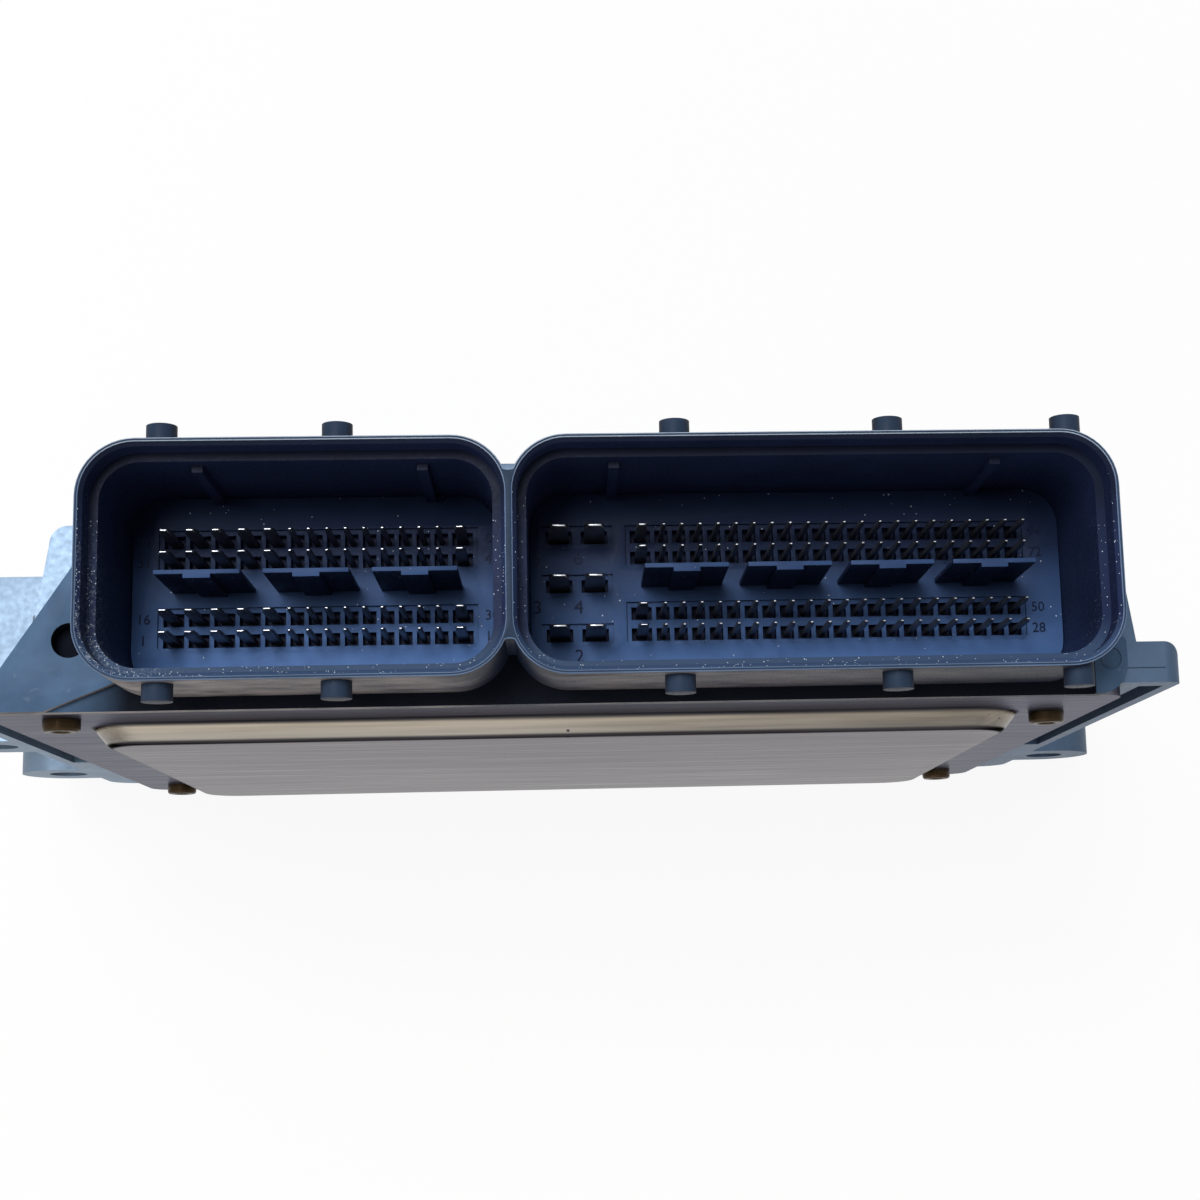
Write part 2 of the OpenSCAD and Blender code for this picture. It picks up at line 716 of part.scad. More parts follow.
// Moulded header: flange, two shrouds, lock pegs and guide ribs
module connector_header() color("#1c2233") difference() {
    union() {
        translate([0, 0, case_depth]) linear_extrude(header_t) flange_outline();
        translate([0, 0, rear_z]) linear_extrude(rim_z - rear_z) {
            shroud_section(a_x0, a_w, 0);
            shroud_section(k_x0, k_w, 0);
            seam_web();
        }
        // web that closes the notch between the shrouds' tops
        box([k_x0 - shroud_r, arch_y, rear_z], [k_x0 + shroud_r, plate_in - fit, rear_z + vee_web]);
        // sill that the cover's front edge lies on
        box([mouth_x0 + fit, seat_y, rear_z], [mouth_x1 - fit, seat_y + shroud_wall, case_depth + cut]);
        for (x = peg_xs) {
            post_y(x, peg_z, peg_d, shroud_top - shroud_wall / 2, shroud_top + peg_h);
            post_y(x, peg_z, peg_d, seat_y - peg_h, seat_y + shroud_wall / 2);
        }
    }
    for (socket = [[a_x0, a_w], [k_x0, k_w]]) {
        difference() {
            translate([0, 0, rear_z - cut]) linear_extrude(rim_z - rear_z + 2 * cut)
                shroud_section(socket[0], socket[1], shroud_wall);
            for (x = guide_xs)
                box([x - guide_w / 2, shroud_top - shroud_wall - guide_h, block_z],
                    [x + guide_w / 2, shroud_top, rim_z - 1.5 * step_depth]);
        }
        translate([0, 0, rim_z - step_depth]) linear_extrude(step_depth + cut)
            shroud_section(socket[0], socket[1], shroud_wall - step_w);
    }
    translate([header_hole[0], header_hole[1], flange_z - header_hole_depth])
        cylinder(d = header_hole_d, h = header_hole_depth + cut);
    translate([0, 0, flange_z - strip_depth]) linear_extrude(strip_depth + cut) flange_strip();
    translate([k_x1 + mark_d / 2, seat_y + mark_d, flange_z - mark_depth])
        cylinder(d = mark_d, h = mark_depth + cut);
    rise_y(seat_y - cut, seat_y + seal_h) seal_ring(fit / 2);
}

// A window round one pin and the hole that the pin passes through
module pin_window(x, y, window_w, h, w, t) {
    box([x - window_w / 2, y - h / 2, block_z - window_depth],
        [x + window_w / 2, y + h / 2, block_z + cut]);
    box([x - w / 2 - fit / 2, y - t / 2 - fit / 2, rear_z - cut],
        [x + w / 2 + fit / 2, y + t / 2 + fit / 2, block_z]);
}

// A shallow pocket round windows from x0 to x1 and y0 to y1, with its lower corners cut off
module pocket(x0, x1, y0, y1) {
    e = pocket_edge;
    translate([0, 0, block_z - pocket_depth]) linear_extrude(pocket_depth + cut)
        polygon([[x0, y0 - e], [x1, y0 - e], [x1 + e, y0],
            [x1 + e, y1 + e], [x0 - e, y1 + e], [x0 - e, y0]]);
}

// The two pockets of a socket's row pairs, over windows from x0 to x1
module row_pockets(x0, x1) {
    for (y = [row_in, -row_out]) pocket(x0, x1, y - window_h / 2, y + row_pitch + window_h / 2);
}

// A thin blade between the two row pairs, with a rib on its lower face
module partition_blade(x) {
    box([x - blade_w / 2, -blade_t / 2, block_z - cut],
        [x + blade_w / 2, blade_t / 2, block_z + blade_reach]);
    box([x - blade_rib_w / 2, -blade_t / 2 - blade_rib_t, block_z - cut],
        [x + blade_rib_w / 2, blade_t / 2, block_z + blade_reach]);
}

// Body of a contact block, clear of its shroud and its guide ribs
module block_body(x0, w) {
    translate([0, 0, rear_z]) linear_extrude(block_t) shroud_section(x0, w, shroud_wall + fit);
}

// Carrier of the small socket's pins
module contact_block_a() color("#27314a") difference() {
    union() {
        block_body(a_x0, a_w);
        for (i = [-1 : 1]) partition_blade(a_mid_x + i * a_blade_pitch);
    }
    row_pockets(a_load_x - load_window / 2, a_last_x + load_window / 2);
    for (y = row_ys) {
        for (x = a_load_xs) pin_window(x, y, load_window, window_h, load_w, signal_t);
        for (x = a_signal_xs) pin_window(x, y, signal_window, window_h, signal_t, signal_t);
    }
}

// Carrier of the large socket's pins
module contact_block_k() color("#27314a") difference() {
    union() {
        block_body(k_x0, k_w);
        for (i = [-1.5 : 1.5]) partition_blade(k_mid_x + i * k_blade_pitch);
    }
    row_pockets(k_load_x - load_window / 2, k_last_x + signal_window / 2);
    for (y = row_ys) {
        pin_window(k_load_x, y, load_window, window_h, load_w, signal_t);
        for (x = k_signal_xs) pin_window(x, y, signal_window, window_h, signal_t, signal_t);
    }
    for (y = supply_ys) {
        pocket(k_supply_x - supply_window / 2, k_supply_x + supply_pitch + supply_window / 2,
            y - window_h / 2, y + window_h / 2);
        for (x = k_supply_xs) pin_window(x, y, supply_window, window_h, supply_w, supply_t);
    }
}

// A pin bent at a right angle: straight out of its block, and up through the board behind it
module bent_pin(x, y, w, t, z) {
    top = board_top + leg_out;
    spread_x(x, w) polygon([[tip_z, y + t / 4], [tip_z, y - t / 4], [tip_z - tip_l, y - t / 2],
        [z - t / 2, y - t / 2], [z - t / 2, top], [z + t / 2, top], [z + t / 2, y + t / 2],
        [tip_z - tip_l, y + t / 2]]);
}

module pins_a_signal() color("silver")
    for (i = [0 : 3]) for (x = a_signal_xs) bent_pin(x, row_ys[i], signal_t, signal_t, leg_z[i]);

module pins_a_load() color("silver")
    for (i = [0 : 3]) for (x = a_load_xs) bent_pin(x, row_ys[i], load_w, signal_t, leg_z[i]);

module pins_k_signal() color("silver")
    for (i = [0 : 3]) for (x = k_signal_xs) bent_pin(x, row_ys[i], signal_t, signal_t, leg_z[i]);

module pins_k_load() color("silver")
    for (i = [0 : 3]) bent_pin(k_load_x, row_ys[i], load_w, signal_t, leg_z[i]);

// Height of the leg of a supply blade, between the first and the last pin row
function supply_leg(i) = leg_z[0] + (leg_z[3] - leg_z[0]) * i / (supply_rows - 1);

module pins_k_supply() color("silver")
    for (i = [0 : supply_rows - 1]) for (x = k_supply_xs)
        bent_pin(x, supply_ys[i], supply_w, supply_t, supply_leg(i));

// A hole in the board for one pin leg
module leg_hole(x, z, w, t) {
    box([x - w / 2 - fit, board_y - cut, z - t / 2 - fit],
        [x + w / 2 + fit, board_top + cut, z + t / 2 + fit]);
}

// Circuit board with a hole for each pin and each screw
module circuit_board() color("darkgreen") difference() {
    box([board_x0, board_y, board_z0], [board_x1, board_top, board_z1]);
    for (i = [0 : 3]) {
        for (x = concat(a_load_xs, [k_load_x])) leg_hole(x, leg_z[i], load_w, signal_t);
        for (x = concat(a_signal_xs, k_signal_xs)) leg_hole(x, leg_z[i], signal_t, signal_t);
    }
    for (i = [0 : supply_rows - 1]) for (x = k_supply_xs) leg_hole(x, supply_leg(i), supply_w, supply_t);
    for (x = boss_xs) for (z = boss_zs)
        post_y(x, z, board_screw_d + 2 * fit, board_y - cut, board_top + cut);
}

// A flat part under the board, size along X, Y and Z, at a place along X and Z
module under_board(x, z, size) {
    box([x - size[0] / 2, board_y - size[1], z - size[2] / 2],
        [x + size[0] / 2, board_y, z + size[2] / 2]);
}

// A block over one power transistor's place, from y0 up to y1
module over_board(x, y0, y1) {
    box([x - mosfet_w / 2, y0, rear_row_z - mosfet_l / 2],
        [x + mosfet_w / 2, y1, rear_row_z + mosfet_l / 2]);
}

module microcontroller() color("#222222") under_board(cpu_x, cpu_z, [cpu_w, chip_h, cpu_w]);

module flash_memory() color("#222222")
    for (side = [-1, 1])
        under_board(flash_x, cpu_z + side * (flash_l + part_gap) / 2, [flash_w, small_h, flash_l]);

module driver_chips() color("#222222")
    for (i = [0 : 3])
        under_board(-part_gap - i * (driver_w + part_gap), front_row_z, [driver_w, chip_h, driver_w]);

// Power transistors on the board's upper face, under their thermal pads
module power_mosfets() color("#303030")
    for (x = mosfet_xs) over_board(x, board_top, board_top + mosfet_h);

module thermal_pads() color("lightblue")
    for (x = mosfet_xs) over_board(x, board_top + mosfet_h, pedestal_y);

module boost_capacitors() color("#2d3a60")
    for (x = coil_xs) post_y(x, rear_row_z, capacitor_d, board_y - capacitor_h, board_y);

// Two rows beside the microcontroller
module ceramic_capacitors() color("burlywood")
    for (i = [-5.5 : 5.5]) for (side = [-1, 1])
        under_board(cpu_x + i * 2.3 * ceramic_w, cpu_z + side * (cpu_w / 2 + part_gap),
            [ceramic_w, small_h, ceramic_l]);

module power_inductors() color("dimgray")
    for (x = coil_xs) under_board(x, inductor_z, [inductor_w, inductor_h, inductor_w]);

module shunt_resistors() color("black")
    for (i = [0 : 5])
        under_board(cpu_x - part_gap + i * 2.5 * shunt_w, front_row_z, [shunt_w, small_h, shunt_l]);

module crystal() color("silver")
    under_board(flash_x - flash_w / 2, cpu_z + cpu_w / 2 + 2 * part_gap,
        [crystal_l, small_h, crystal_l / 2]);

// Ambient pressure sensor with its small port
module pressure_sensor() color("#3a3a3a") {
    under_board(sensor_x, sensor_z, [sensor_w, sensor_h, sensor_w]);
    post_y(sensor_x, sensor_z, sensor_w / 2, board_y - 1.6 * sensor_h, board_y - sensor_h / 2);
}

module cover_seal() color("gray") rise_y(seat_y, seat_y + seal_h) seal_ring(0);

module header_seal() color("gray")
    translate([0, 0, case_depth - seal_h]) linear_extrude(seal_h) header_bead(0);

// Pan-head screws through the cover
module cover_screws() color("#8a7a5a")
    for (p = screw_places) {
        post_y(p[0], p[1], cover_screw_d, cover_y - cover_head_h / 2, cover_y + cover_screw_l);
        difference() {
            post_y(p[0], p[1], cover_head_d, cover_y - cover_head_h, cover_y);
            post_y(p[0], p[1], cover_drive_d, cover_y - cover_head_h - cut, cover_y - cover_head_h / 2);
        }
    }

module board_screws() color("silver")
    for (x = boss_xs) for (z = boss_zs) {
        post_y(x, z, board_screw_d, board_y - board_head_h / 2, plate_in - leg_out / 2);
        post_y(x, z, board_head_d, board_y - board_head_h, board_y);
    }

// Vent plug through the main plate, hollow so that air reaches the membrane
module vent_plug() color("#1c2233") difference() {
    union() {
        post_y(vent_place[0], vent_place[1], vent_d, plate_in, plate_out + cut);
        post_y(vent_place[0], vent_place[1], vent_cap_d, plate_out, plate_out + vent_cap_h);
    }
    post_y(vent_place[0], vent_place[1], vent_d / 2, plate_in - cut, plate_out + vent_cap_h / 2);
    for (turn = [0 : 90 : 270])
        translate([vent_place[0], plate_out + vent_cap_h / 4, vent_place[1]]) rotate([0, turn, 0])
            translate([0, 0, -vent_slot / 2]) cube([vent_cap_d, vent_cap_h / 4, vent_slot]);
}

module vent_membrane() color("white")
    post_y(vent_place[0], vent_place[1], 0.75 * vent_d, plate_in - membrane_t, plate_in);

housing();
cover();
connector_header();
contact_block_a();
contact_block_k();
pins_a_signal();
pins_a_load();
pins_k_signal();
pins_k_load();
pins_k_supply();
circuit_board();
microcontroller();
flash_memory();
driver_chips();
power_mosfets();
boost_capacitors();
ceramic_capacitors();
power_inductors();
shunt_resistors();
crystal();
pressure_sensor();
thermal_pads();
cover_seal();
header_seal();
cover_screws();
board_screws();
vent_plug();
vent_membrane();
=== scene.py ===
"""Engine control unit: the finished look of each piece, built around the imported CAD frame."""

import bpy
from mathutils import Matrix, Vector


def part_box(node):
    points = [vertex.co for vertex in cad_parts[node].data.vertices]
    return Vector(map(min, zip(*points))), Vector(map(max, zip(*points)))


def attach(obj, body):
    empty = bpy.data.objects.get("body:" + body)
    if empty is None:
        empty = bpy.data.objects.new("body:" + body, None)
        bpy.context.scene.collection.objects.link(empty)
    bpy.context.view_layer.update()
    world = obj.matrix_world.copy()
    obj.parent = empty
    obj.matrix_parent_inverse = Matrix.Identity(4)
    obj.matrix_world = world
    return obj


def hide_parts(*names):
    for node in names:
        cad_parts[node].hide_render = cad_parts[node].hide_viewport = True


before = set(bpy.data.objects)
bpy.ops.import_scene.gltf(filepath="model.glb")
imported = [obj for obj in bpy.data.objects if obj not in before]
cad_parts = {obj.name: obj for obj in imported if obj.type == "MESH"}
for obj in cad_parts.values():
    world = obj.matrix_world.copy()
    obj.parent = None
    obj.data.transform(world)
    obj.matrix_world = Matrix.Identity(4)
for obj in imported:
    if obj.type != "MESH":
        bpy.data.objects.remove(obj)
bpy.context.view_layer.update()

import math

import bmesh
import bpy
from mathutils import Matrix, Vector

bl_info = {
    "name": "Engine control unit",
    "version": (1, 0, 0),
    "blender": (4, 5, 0),
    "location": "View3D > Sidebar > Control unit",
    "description": "Dresses a cast, sealed control unit and its plug header",
    "category": "Object",
}

MM = 0.001

# Places read from the frame
HEADER_LOW, HEADER_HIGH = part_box("connector_header")
COVER_LOW, COVER_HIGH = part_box("cover")
HOUSING_LOW, HOUSING_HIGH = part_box("housing")
BLOCK_A_LOW, BLOCK_A_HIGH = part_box("contact_block_a")
BLOCK_K_LOW, BLOCK_K_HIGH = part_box("contact_block_k")
A_PINS_LOW, A_PINS_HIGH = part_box("pins_a_load")
K_PINS_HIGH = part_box("pins_k_signal")[1]
SUPPLY_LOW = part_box("pins_k_supply")[0]
RIM_Z = HEADER_HIGH.z
BLADE_FRONT = BLOCK_A_HIGH.z

# Sizes of the solids
PIN_REACH = 8 * MM
BLOCK_Z = A_PINS_HIGH.z - PIN_REACH
SHROUD_RISE = 14.5 * MM
FLANGE_Z = RIM_Z - SHROUD_RISE
SHROUD_WALL = 2.3 * MM
SHROUD_R = 7.5 * MM
SHROUDS = [(low.x - SHROUD_WALL, high.x + SHROUD_WALL, low.y - SHROUD_WALL, high.y + SHROUD_WALL)
           for low, high in ((BLOCK_A_LOW, BLOCK_A_HIGH), (BLOCK_K_LOW, BLOCK_K_HIGH))]
SEAM_X = SHROUDS[1][0]
FLANGE_HOLE = Vector((SHROUDS[0][0] - 3.7 * MM, SHROUDS[0][2] + 7.7 * MM))
FLANGE_HOLE_R = 2.4 * MM
STRIP_DEPTH = 1 * MM
STRIP_LEFT = SHROUDS[0][0] - 4 * MM
PEG_Z = RIM_Z - 3.3 * MM
PEG_R = 2.3 * MM
RIB_H = 2 * MM
COVER_CORNER = 4.2 * MM
SCREW_HEAD_H = 1.6 * MM

# Rows of pins, and the numbers beside them
ROW_YS = [7 * MM, 4 * MM, -4 * MM, -7 * MM]
SUPPLY_YS = [7 * MM, 0, -7 * MM]
SUPPLY_X = SUPPLY_LOW.x + 1.4 * MM
SUPPLY_NUMBER_LEFT = 3.05 * MM
SUPPLY_NUMBER_RIGHT = 2.7 * MM
SUPPLY_NUMBER_BELOW = 3.1 * MM
A_NUMBER_ASIDE = 3.3 * MM
K_NUMBER_ASIDE = 3 * MM
TYPE_TO_DIGIT = 1.4

# Lamps
KEY_AT = (-0.3, 0.3, 1.2)
KEY_SIZE = 0.6
FILL_AT = (-0.3, -0.9, 0.6)
FILL_SIZE = 0.9

# Photograph's frame and lens, in its pixels
FRAME_PX = 1200
FOCAL_PX = 1979
MIDDLE_PX = (676, 631)


def linear(hex_colour):
    """Turns an sRGB hex colour into the linear colour that shader sockets take."""
    channels = [int(hex_colour[i:i + 2], 16) / 255 for i in (1, 3, 5)]
    return [c / 12.92 if c <= 0.04045 else ((c + 0.055) / 1.055) ** 2.4 for c in channels] + [1.0]


def colour_setting(label, about, hex_colour):
    """A colour that the user can change."""
    return bpy.props.FloatVectorProperty(name=label, description=about, subtype="COLOR", size=4,
                                         min=0, max=1, default=linear(hex_colour))


def length_setting(label, about, size):
    """A length that the user can change, in metres."""
    return bpy.props.FloatProperty(name=label, description=about, subtype="DISTANCE", unit="LENGTH",
                                   min=0, precision=5, default=size)


class SocketLook(bpy.types.PropertyGroup):
    """Sizes and colours of the moulded header and its contact blocks."""

    header_colour: colour_setting("Header", "Moulded header where it is clean", "#1B2232")
    # painted light: the blue-grey that sky light gives the faces turned to +Z, laid on as colour
    painted_light_colour: colour_setting("Header film", "Dust film on the header's faces that look up", "#4E6886")
    # worn rim edges, which also carry a painted highlight
    worn_highlight_colour: colour_setting("Worn rim", "Rubbed outer edge of a shroud's rim", "#5E7290")
    wall_colour: colour_setting("Socket wall", "Inner wall of a socket", "#1F2846")
    # painted shade for the header's recesses, holes and upper ledges
    recess_shade_colour: colour_setting("Recess", "Header's recesses, where oil and dirt stay", "#0E121C")
    block_colour: colour_setting("Contact block", "Contact block where it is clean", "#18213A")
    # painted light on the blocks' faces, standing for sky light
    block_light_colour: colour_setting("Contact block film", "Dust film on the face round the pins", "#5578B0")
    # real pale dust and scuffs; the same colour also paints the highlight on the rims' upper outer edges
    dust_and_highlight_colour: colour_setting("Dust", "Pale dust in the sockets", "#C6D2DC")
    # painted reflection on the shrouds' undersides
    underside_reflection_colour: colour_setting("Grime", "Brown grime under the shrouds", "#B2A9A6")
    rim_outer: length_setting("Rim's outer edge", "Radius of a rim's outer edge", 0.25 * MM)
    rim_inner: length_setting("Rim's inner edge", "Width of the slope inside a rim", 0.62 * MM)
    edge_round: length_setting("Edge rounding", "Radius of the header's other edges", 0.3 * MM)
    block_round: length_setting("Block rounding", "Radius of a contact block's edges", 0.1 * MM)
    digit_size: length_setting("Supply numbers", "Height of the numbers beside the supply blades", 1.9 * MM)
    row_size: length_setting("Row numbers", "Height of the numbers at the ends of the rows", 1.4 * MM)
    digit_rise: length_setting("Number relief", "How far a number stands out", 0.15 * MM)
    vent_round: length_setting("Vent rounding", "Radius of the vent cap's edge", 0.4 * MM)


class CaseLook(bpy.types.PropertyGroup):
    """Sizes and colours of the housing, cover, screws and pins."""

    # painted light and shade: the casting is paler at its left and darker at its right, with a blue tint of
    # painted sky light
    lit_cast_colour: colour_setting("Casting", "Die-cast housing where it is pale", "#728497")
    shaded_cast_colour: colour_setting("Dull casting", "Die-cast housing where it is dull", "#4C5E74")
    # painted shade on the border and in the bends, a painted highlight at the panel's foot and a warm painted
    # reflection on its flank; the bend colour also marks dark specks
    border_shade_colour: colour_setting("Cover's border", "Cover sheet round the panel", "#5A5B66")
    sheet_colour: colour_setting("Cover's panel", "Raised panel of the cover", "#6A686A")
    foot_highlight_colour: colour_setting("Bend", "Polished bend at the foot of the panel", "#867E72")
    flank_reflection_colour: colour_setting("Cover's flank", "Warmer tone of the panel's flank", "#7A756E")
    bend_shade_and_speck_colour: colour_setting("Grimed bend", "Bends where grime stays", "#3C3A3C")
    screw_colour: colour_setting("Screws", "Plated screws", "#3C3022")
    # painted highlight and painted shade on the pins: faces turned to +Z take the bright tin, the rest a
    # darker grey, partly tarnish
    tin_colour: colour_setting("Pin tips", "Pins where the plug rubs them bright", "#D2D6DC")
    pin_shade_colour: colour_setting("Pins", "Plated pins away from their tips", "#787A82")
    plate_round: length_setting("Plate edge", "Radius of the main plate's rear edge", 2 * MM)
    cast_round: length_setting("Casting edges", "Radius of the casting's other edges", 0.6 * MM)
    parting_rise: length_setting("Parting line", "Parting line's height above the cover's seat", 2 * MM)
    parting_width: length_setting("Parting width", "Width of the parting line", 0.18 * MM)
    screw_round: length_setting("Screw rounding", "Radius of a screw head's edge", 0.5 * MM)
    pin_round: length_setting("Pin edges", "Width of a pin's broken edges", 0.07 * MM)
    pin_taper: bpy.props.FloatProperty(
        name="Pin taper", description="Size of a pin's tip as a share of the pin", default=0.62)
    foot_bend: length_setting("Foot bend", "Bend radius at the foot of the cover's panel", 1.2 * MM)
    top_bend: length_setting("Top bend", "Bend radius at the top of the cover's panel", 1.5 * MM)
    sheet: length_setting("Sheet", "Thickness of the cover's sheet", 1.5 * MM)
    panel_side: length_setting("Panel side", "Cover's edge to the panel's foot at the sides", 11.2 * MM)
    panel_front: length_setting("Panel front", "Cover's front edge to the panel's foot", 12.4 * MM)
    panel_rear: length_setting("Panel rear", "Cover's rear edge to the panel's foot", 14 * MM)
    panel_run: length_setting("Panel flank", "Run of the panel's sloping flank", 2.2 * MM)
    panel_corner: length_setting("Panel corner", "Corner radius of the panel", 7 * MM)


class StageLook(bpy.types.PropertyGroup):
    """Floor, lights and camera."""

    floor_size: length_setting("Floor", "Side of the floor", 6.0)
    key_power: bpy.props.FloatProperty(
        name="Key light", description="Power of the large soft lamp", unit="POWER", default=13)
    fill_power: bpy.props.FloatProperty(
        name="Fill light", description="Power of the lamp on the cover's side", unit="POWER", default=3)
    camera_at: bpy.props.FloatVectorProperty(
        name="Camera", description="Place of the camera", subtype="XYZ", unit="LENGTH",
        default=(0.00044, -0.05232, 0.38565))
    camera_forward: bpy.props.FloatVectorProperty(
        name="View", description="Direction that the camera looks in", subtype="DIRECTION",
        default=(0.05693, 0.16437, -0.98475))
    camera_up: bpy.props.FloatVectorProperty(
        name="Camera up", description="Direction of the picture's top", subtype="DIRECTION",
        default=(0.01569, 0.98609, 0.16549))


# Materials


def add(tree, kind, inputs=None, **settings):
    """Adds one node, sets its options and fills its sockets with values, outputs or nodes' first outputs."""
    node = tree.nodes.new(kind)
    for key, value in settings.items():
        setattr(node, key, value)
    for key, value in (inputs or {}).items():
        if isinstance(value, bpy.types.Node):
            value = value.outputs[0]
        if isinstance(value, bpy.types.NodeSocket):
            tree.links.new(value, node.inputs[key])
        else:
            node.inputs[key].default_value = value
    return node


def per_mm(size_mm):
    """Texture scale that makes features about size_mm across, in a space measured in metres."""
    return 1 / (size_mm * MM)


def start_material(name):
    """A material with a plain shader; gives the material, its tree, its shader and the coordinates."""
    material = bpy.data.materials.new(name)
    material.use_nodes = True
    tree = material.node_tree
    return material, tree, tree.nodes["Principled BSDF"], add(tree, "ShaderNodeTexCoord")


def shade_of(colour, factor):
    """The same colour made darker or lighter."""
    return [min(1.0, c * factor) for c in colour[:3]] + [1.0]


def surface_grain(tree, shader, place, grain_mm, depth_mm, rough_from, rough_to):
    """Fine relief of a surface, which also varies its gloss."""
    grain = add(tree, "ShaderNodeTexNoise", {"Vector": place, "Scale": per_mm(grain_mm), "Detail": 3.0})
    gloss = add(tree, "ShaderNodeMapRange", {"Value": grain, "From Min": 0.3, "From Max": 0.7,
                                             "To Min": rough_from, "To Max": rough_to})
    relief = add(tree, "ShaderNodeBump", {"Height": grain, "Strength": 0.5, "Distance": depth_mm * MM})
    tree.links.new(gloss.outputs["Result"], shader.inputs["Roughness"])
    tree.links.new(relief.outputs["Normal"], shader.inputs["Normal"])


def mottled(tree, place, patch_mm, dark, light):
    """Colour that drifts between two tones in soft patches."""
    patches = soft_patches(tree, place, patch_mm, 4.0, 0.35, 0.65)
    return add(tree, "ShaderNodeMixRGB", {"Fac": patches, "Color1": dark, "Color2": light})


def soft_patches(tree, place, patch_mm, detail, low, high, share=1.0, base=0.0):
    """Mask of soft patches; it goes from base to share as their noise goes from low to high."""
    patches = add(tree, "ShaderNodeTexNoise", {"Vector": place, "Scale": per_mm(patch_mm), "Detail": detail})
    return add(tree, "ShaderNodeMapRange", {"Value": patches, "From Min": low, "From Max": high,
                                            "To Min": base, "To Max": share})


def grows_along(tree, place, axis, start, end, share=1.0, base=0.0):
    """Mask that goes from base to share between two places along an axis."""
    along = add(tree, "ShaderNodeSeparateXYZ", {"Vector": place})
    return add(tree, "ShaderNodeMapRange", {"Value": along.outputs[axis], "From Min": start, "From Max": end,
                                            "To Min": base, "To Max": share})


def turned_to(tree, coords, axis, low, high, share):
    """Mask of the faces turned to an axis; it reaches share where the normal's part along it is high."""
    return grows_along(tree, coords.outputs["Normal"], axis, low, high, share)


def dust_specks(tree, place, density, speck_mm):
    """Mask of round specks; density says which share of them is there."""
    cells = add(tree, "ShaderNodeTexVoronoi", {"Vector": place, "Scale": per_mm(speck_mm * 2.2)})
    draw = add(tree, "ShaderNodeSeparateColor", {"Color": cells.outputs["Color"]})
    there = add(tree, "ShaderNodeMath", {0: draw.outputs["Red"], 1: density}, operation="LESS_THAN")
    size = add(tree, "ShaderNodeMapRange", {"Value": draw.outputs["Green"], "To Min": 0.12, "To Max": 0.3})
    inside = add(tree, "ShaderNodeMath", {0: cells.outputs["Distance"], 1: size}, operation="LESS_THAN")
    return add(tree, "ShaderNodeMath", {0: there, 1: inside}, operation="MULTIPLY")


def over_coat(tree, shader, coat, masks, colour):
    """Lays a colour over a surface's coat where all the masks are."""
    where = masks[0]
    for mask in masks[1:]:
        where = add(tree, "ShaderNodeMath", {0: where, 1: mask}, operation="MULTIPLY")
    mixed = add(tree, "ShaderNodeMixRGB", {"Fac": where, "Color1": coat, "Color2": colour})
    tree.links.new(mixed.outputs["Color"], shader.inputs["Base Color"])
    return mixed


def moulded_nylon(name, clean, film, share, fade=None, rough=(0.38, 0.55)):
    """Glass-filled nylon: near black with a blue cast, satin, with a grey-blue painted light on the faces
    turned to +Z, where it stands for sky light.

    A fade gives the axis along which the painted light thins, where it is full, where it is thinnest and what
    is left.
    """
    material, tree, shader, coords = start_material(name)
    place = coords.outputs["Object"]
    tone = mottled(tree, place, 12, shade_of(clean, 0.85), shade_of(clean, 1.15))
    # painted light: the film colour lies on the faces turned to +Z, standing for sky light
    masks = [turned_to(tree, coords, "Z", 0.3, 0.8, share)]
    if fade:
        axis, full_at, thin_at, left = fade
        masks.append(grows_along(tree, place, axis, full_at, thin_at, left, 1.0))
    masks.append(soft_patches(tree, place, 5, 5.0, 0.3, 0.6, 1.0, 0.72))
    coat = over_coat(tree, shader, tone, masks, film)
    # fibres are finer than this on the real part; drawn coarser so that they show
    surface_grain(tree, shader, place, 0.4, 0.02, *rough)
    shader.inputs["IOR"].default_value = 1.53
    # dust takes most of the shine
    shader.inputs["Specular IOR Level"].default_value = 0.06
    return material, tree, shader, coords, coat


def header_nylon(look):
    """The header's outside: nylon with its painted light, pale handling scuffs, and a brownish painted
    reflection on the faces turned to -Y, strongest on the left and left off by the seam, where shade falls.
    """
    material, tree, shader, coords, coat = moulded_nylon("moulded_nylon_header", look.header_colour,
                                                         look.painted_light_colour, 1.0)
    place = coords.outputs["Object"]
    scuffs = soft_patches(tree, place, 1.2, 6.0, 0.66, 0.9, 0.25)
    coat = over_coat(tree, shader, coat, [scuffs], look.dust_and_highlight_colour)
    # painted reflection: streaky and brownish on the shrouds' undersides, strongest at the left, and left off
    # near the seam as painted shade
    left = grows_along(tree, place, "X", HEADER_HIGH.x, HEADER_LOW.x, 0.8)
    stretch = add(tree, "ShaderNodeMapping", {"Vector": place, "Scale": (0.4, 1, 1)})
    reflection_streaks = soft_patches(tree, stretch, 2.5, 4.0, 0.2, 0.7)
    below = turned_to(tree, coords, "Y", -0.3, -0.8, 1.0)
    along = add(tree, "ShaderNodeSeparateXYZ", {"Vector": place})
    from_seam = add(tree, "ShaderNodeMath", {0: along.outputs["X"], 1: SEAM_X}, operation="SUBTRACT")
    aside = add(tree, "ShaderNodeMath", {0: from_seam}, operation="ABSOLUTE")
    out_of_seam_shade = add(tree, "ShaderNodeMapRange", {"Value": aside, "From Min": 2 * MM, "From Max": 10 * MM})
    over_coat(tree, shader, coat, [left, reflection_streaks, below, out_of_seam_shade], look.underside_reflection_colour)
    return material


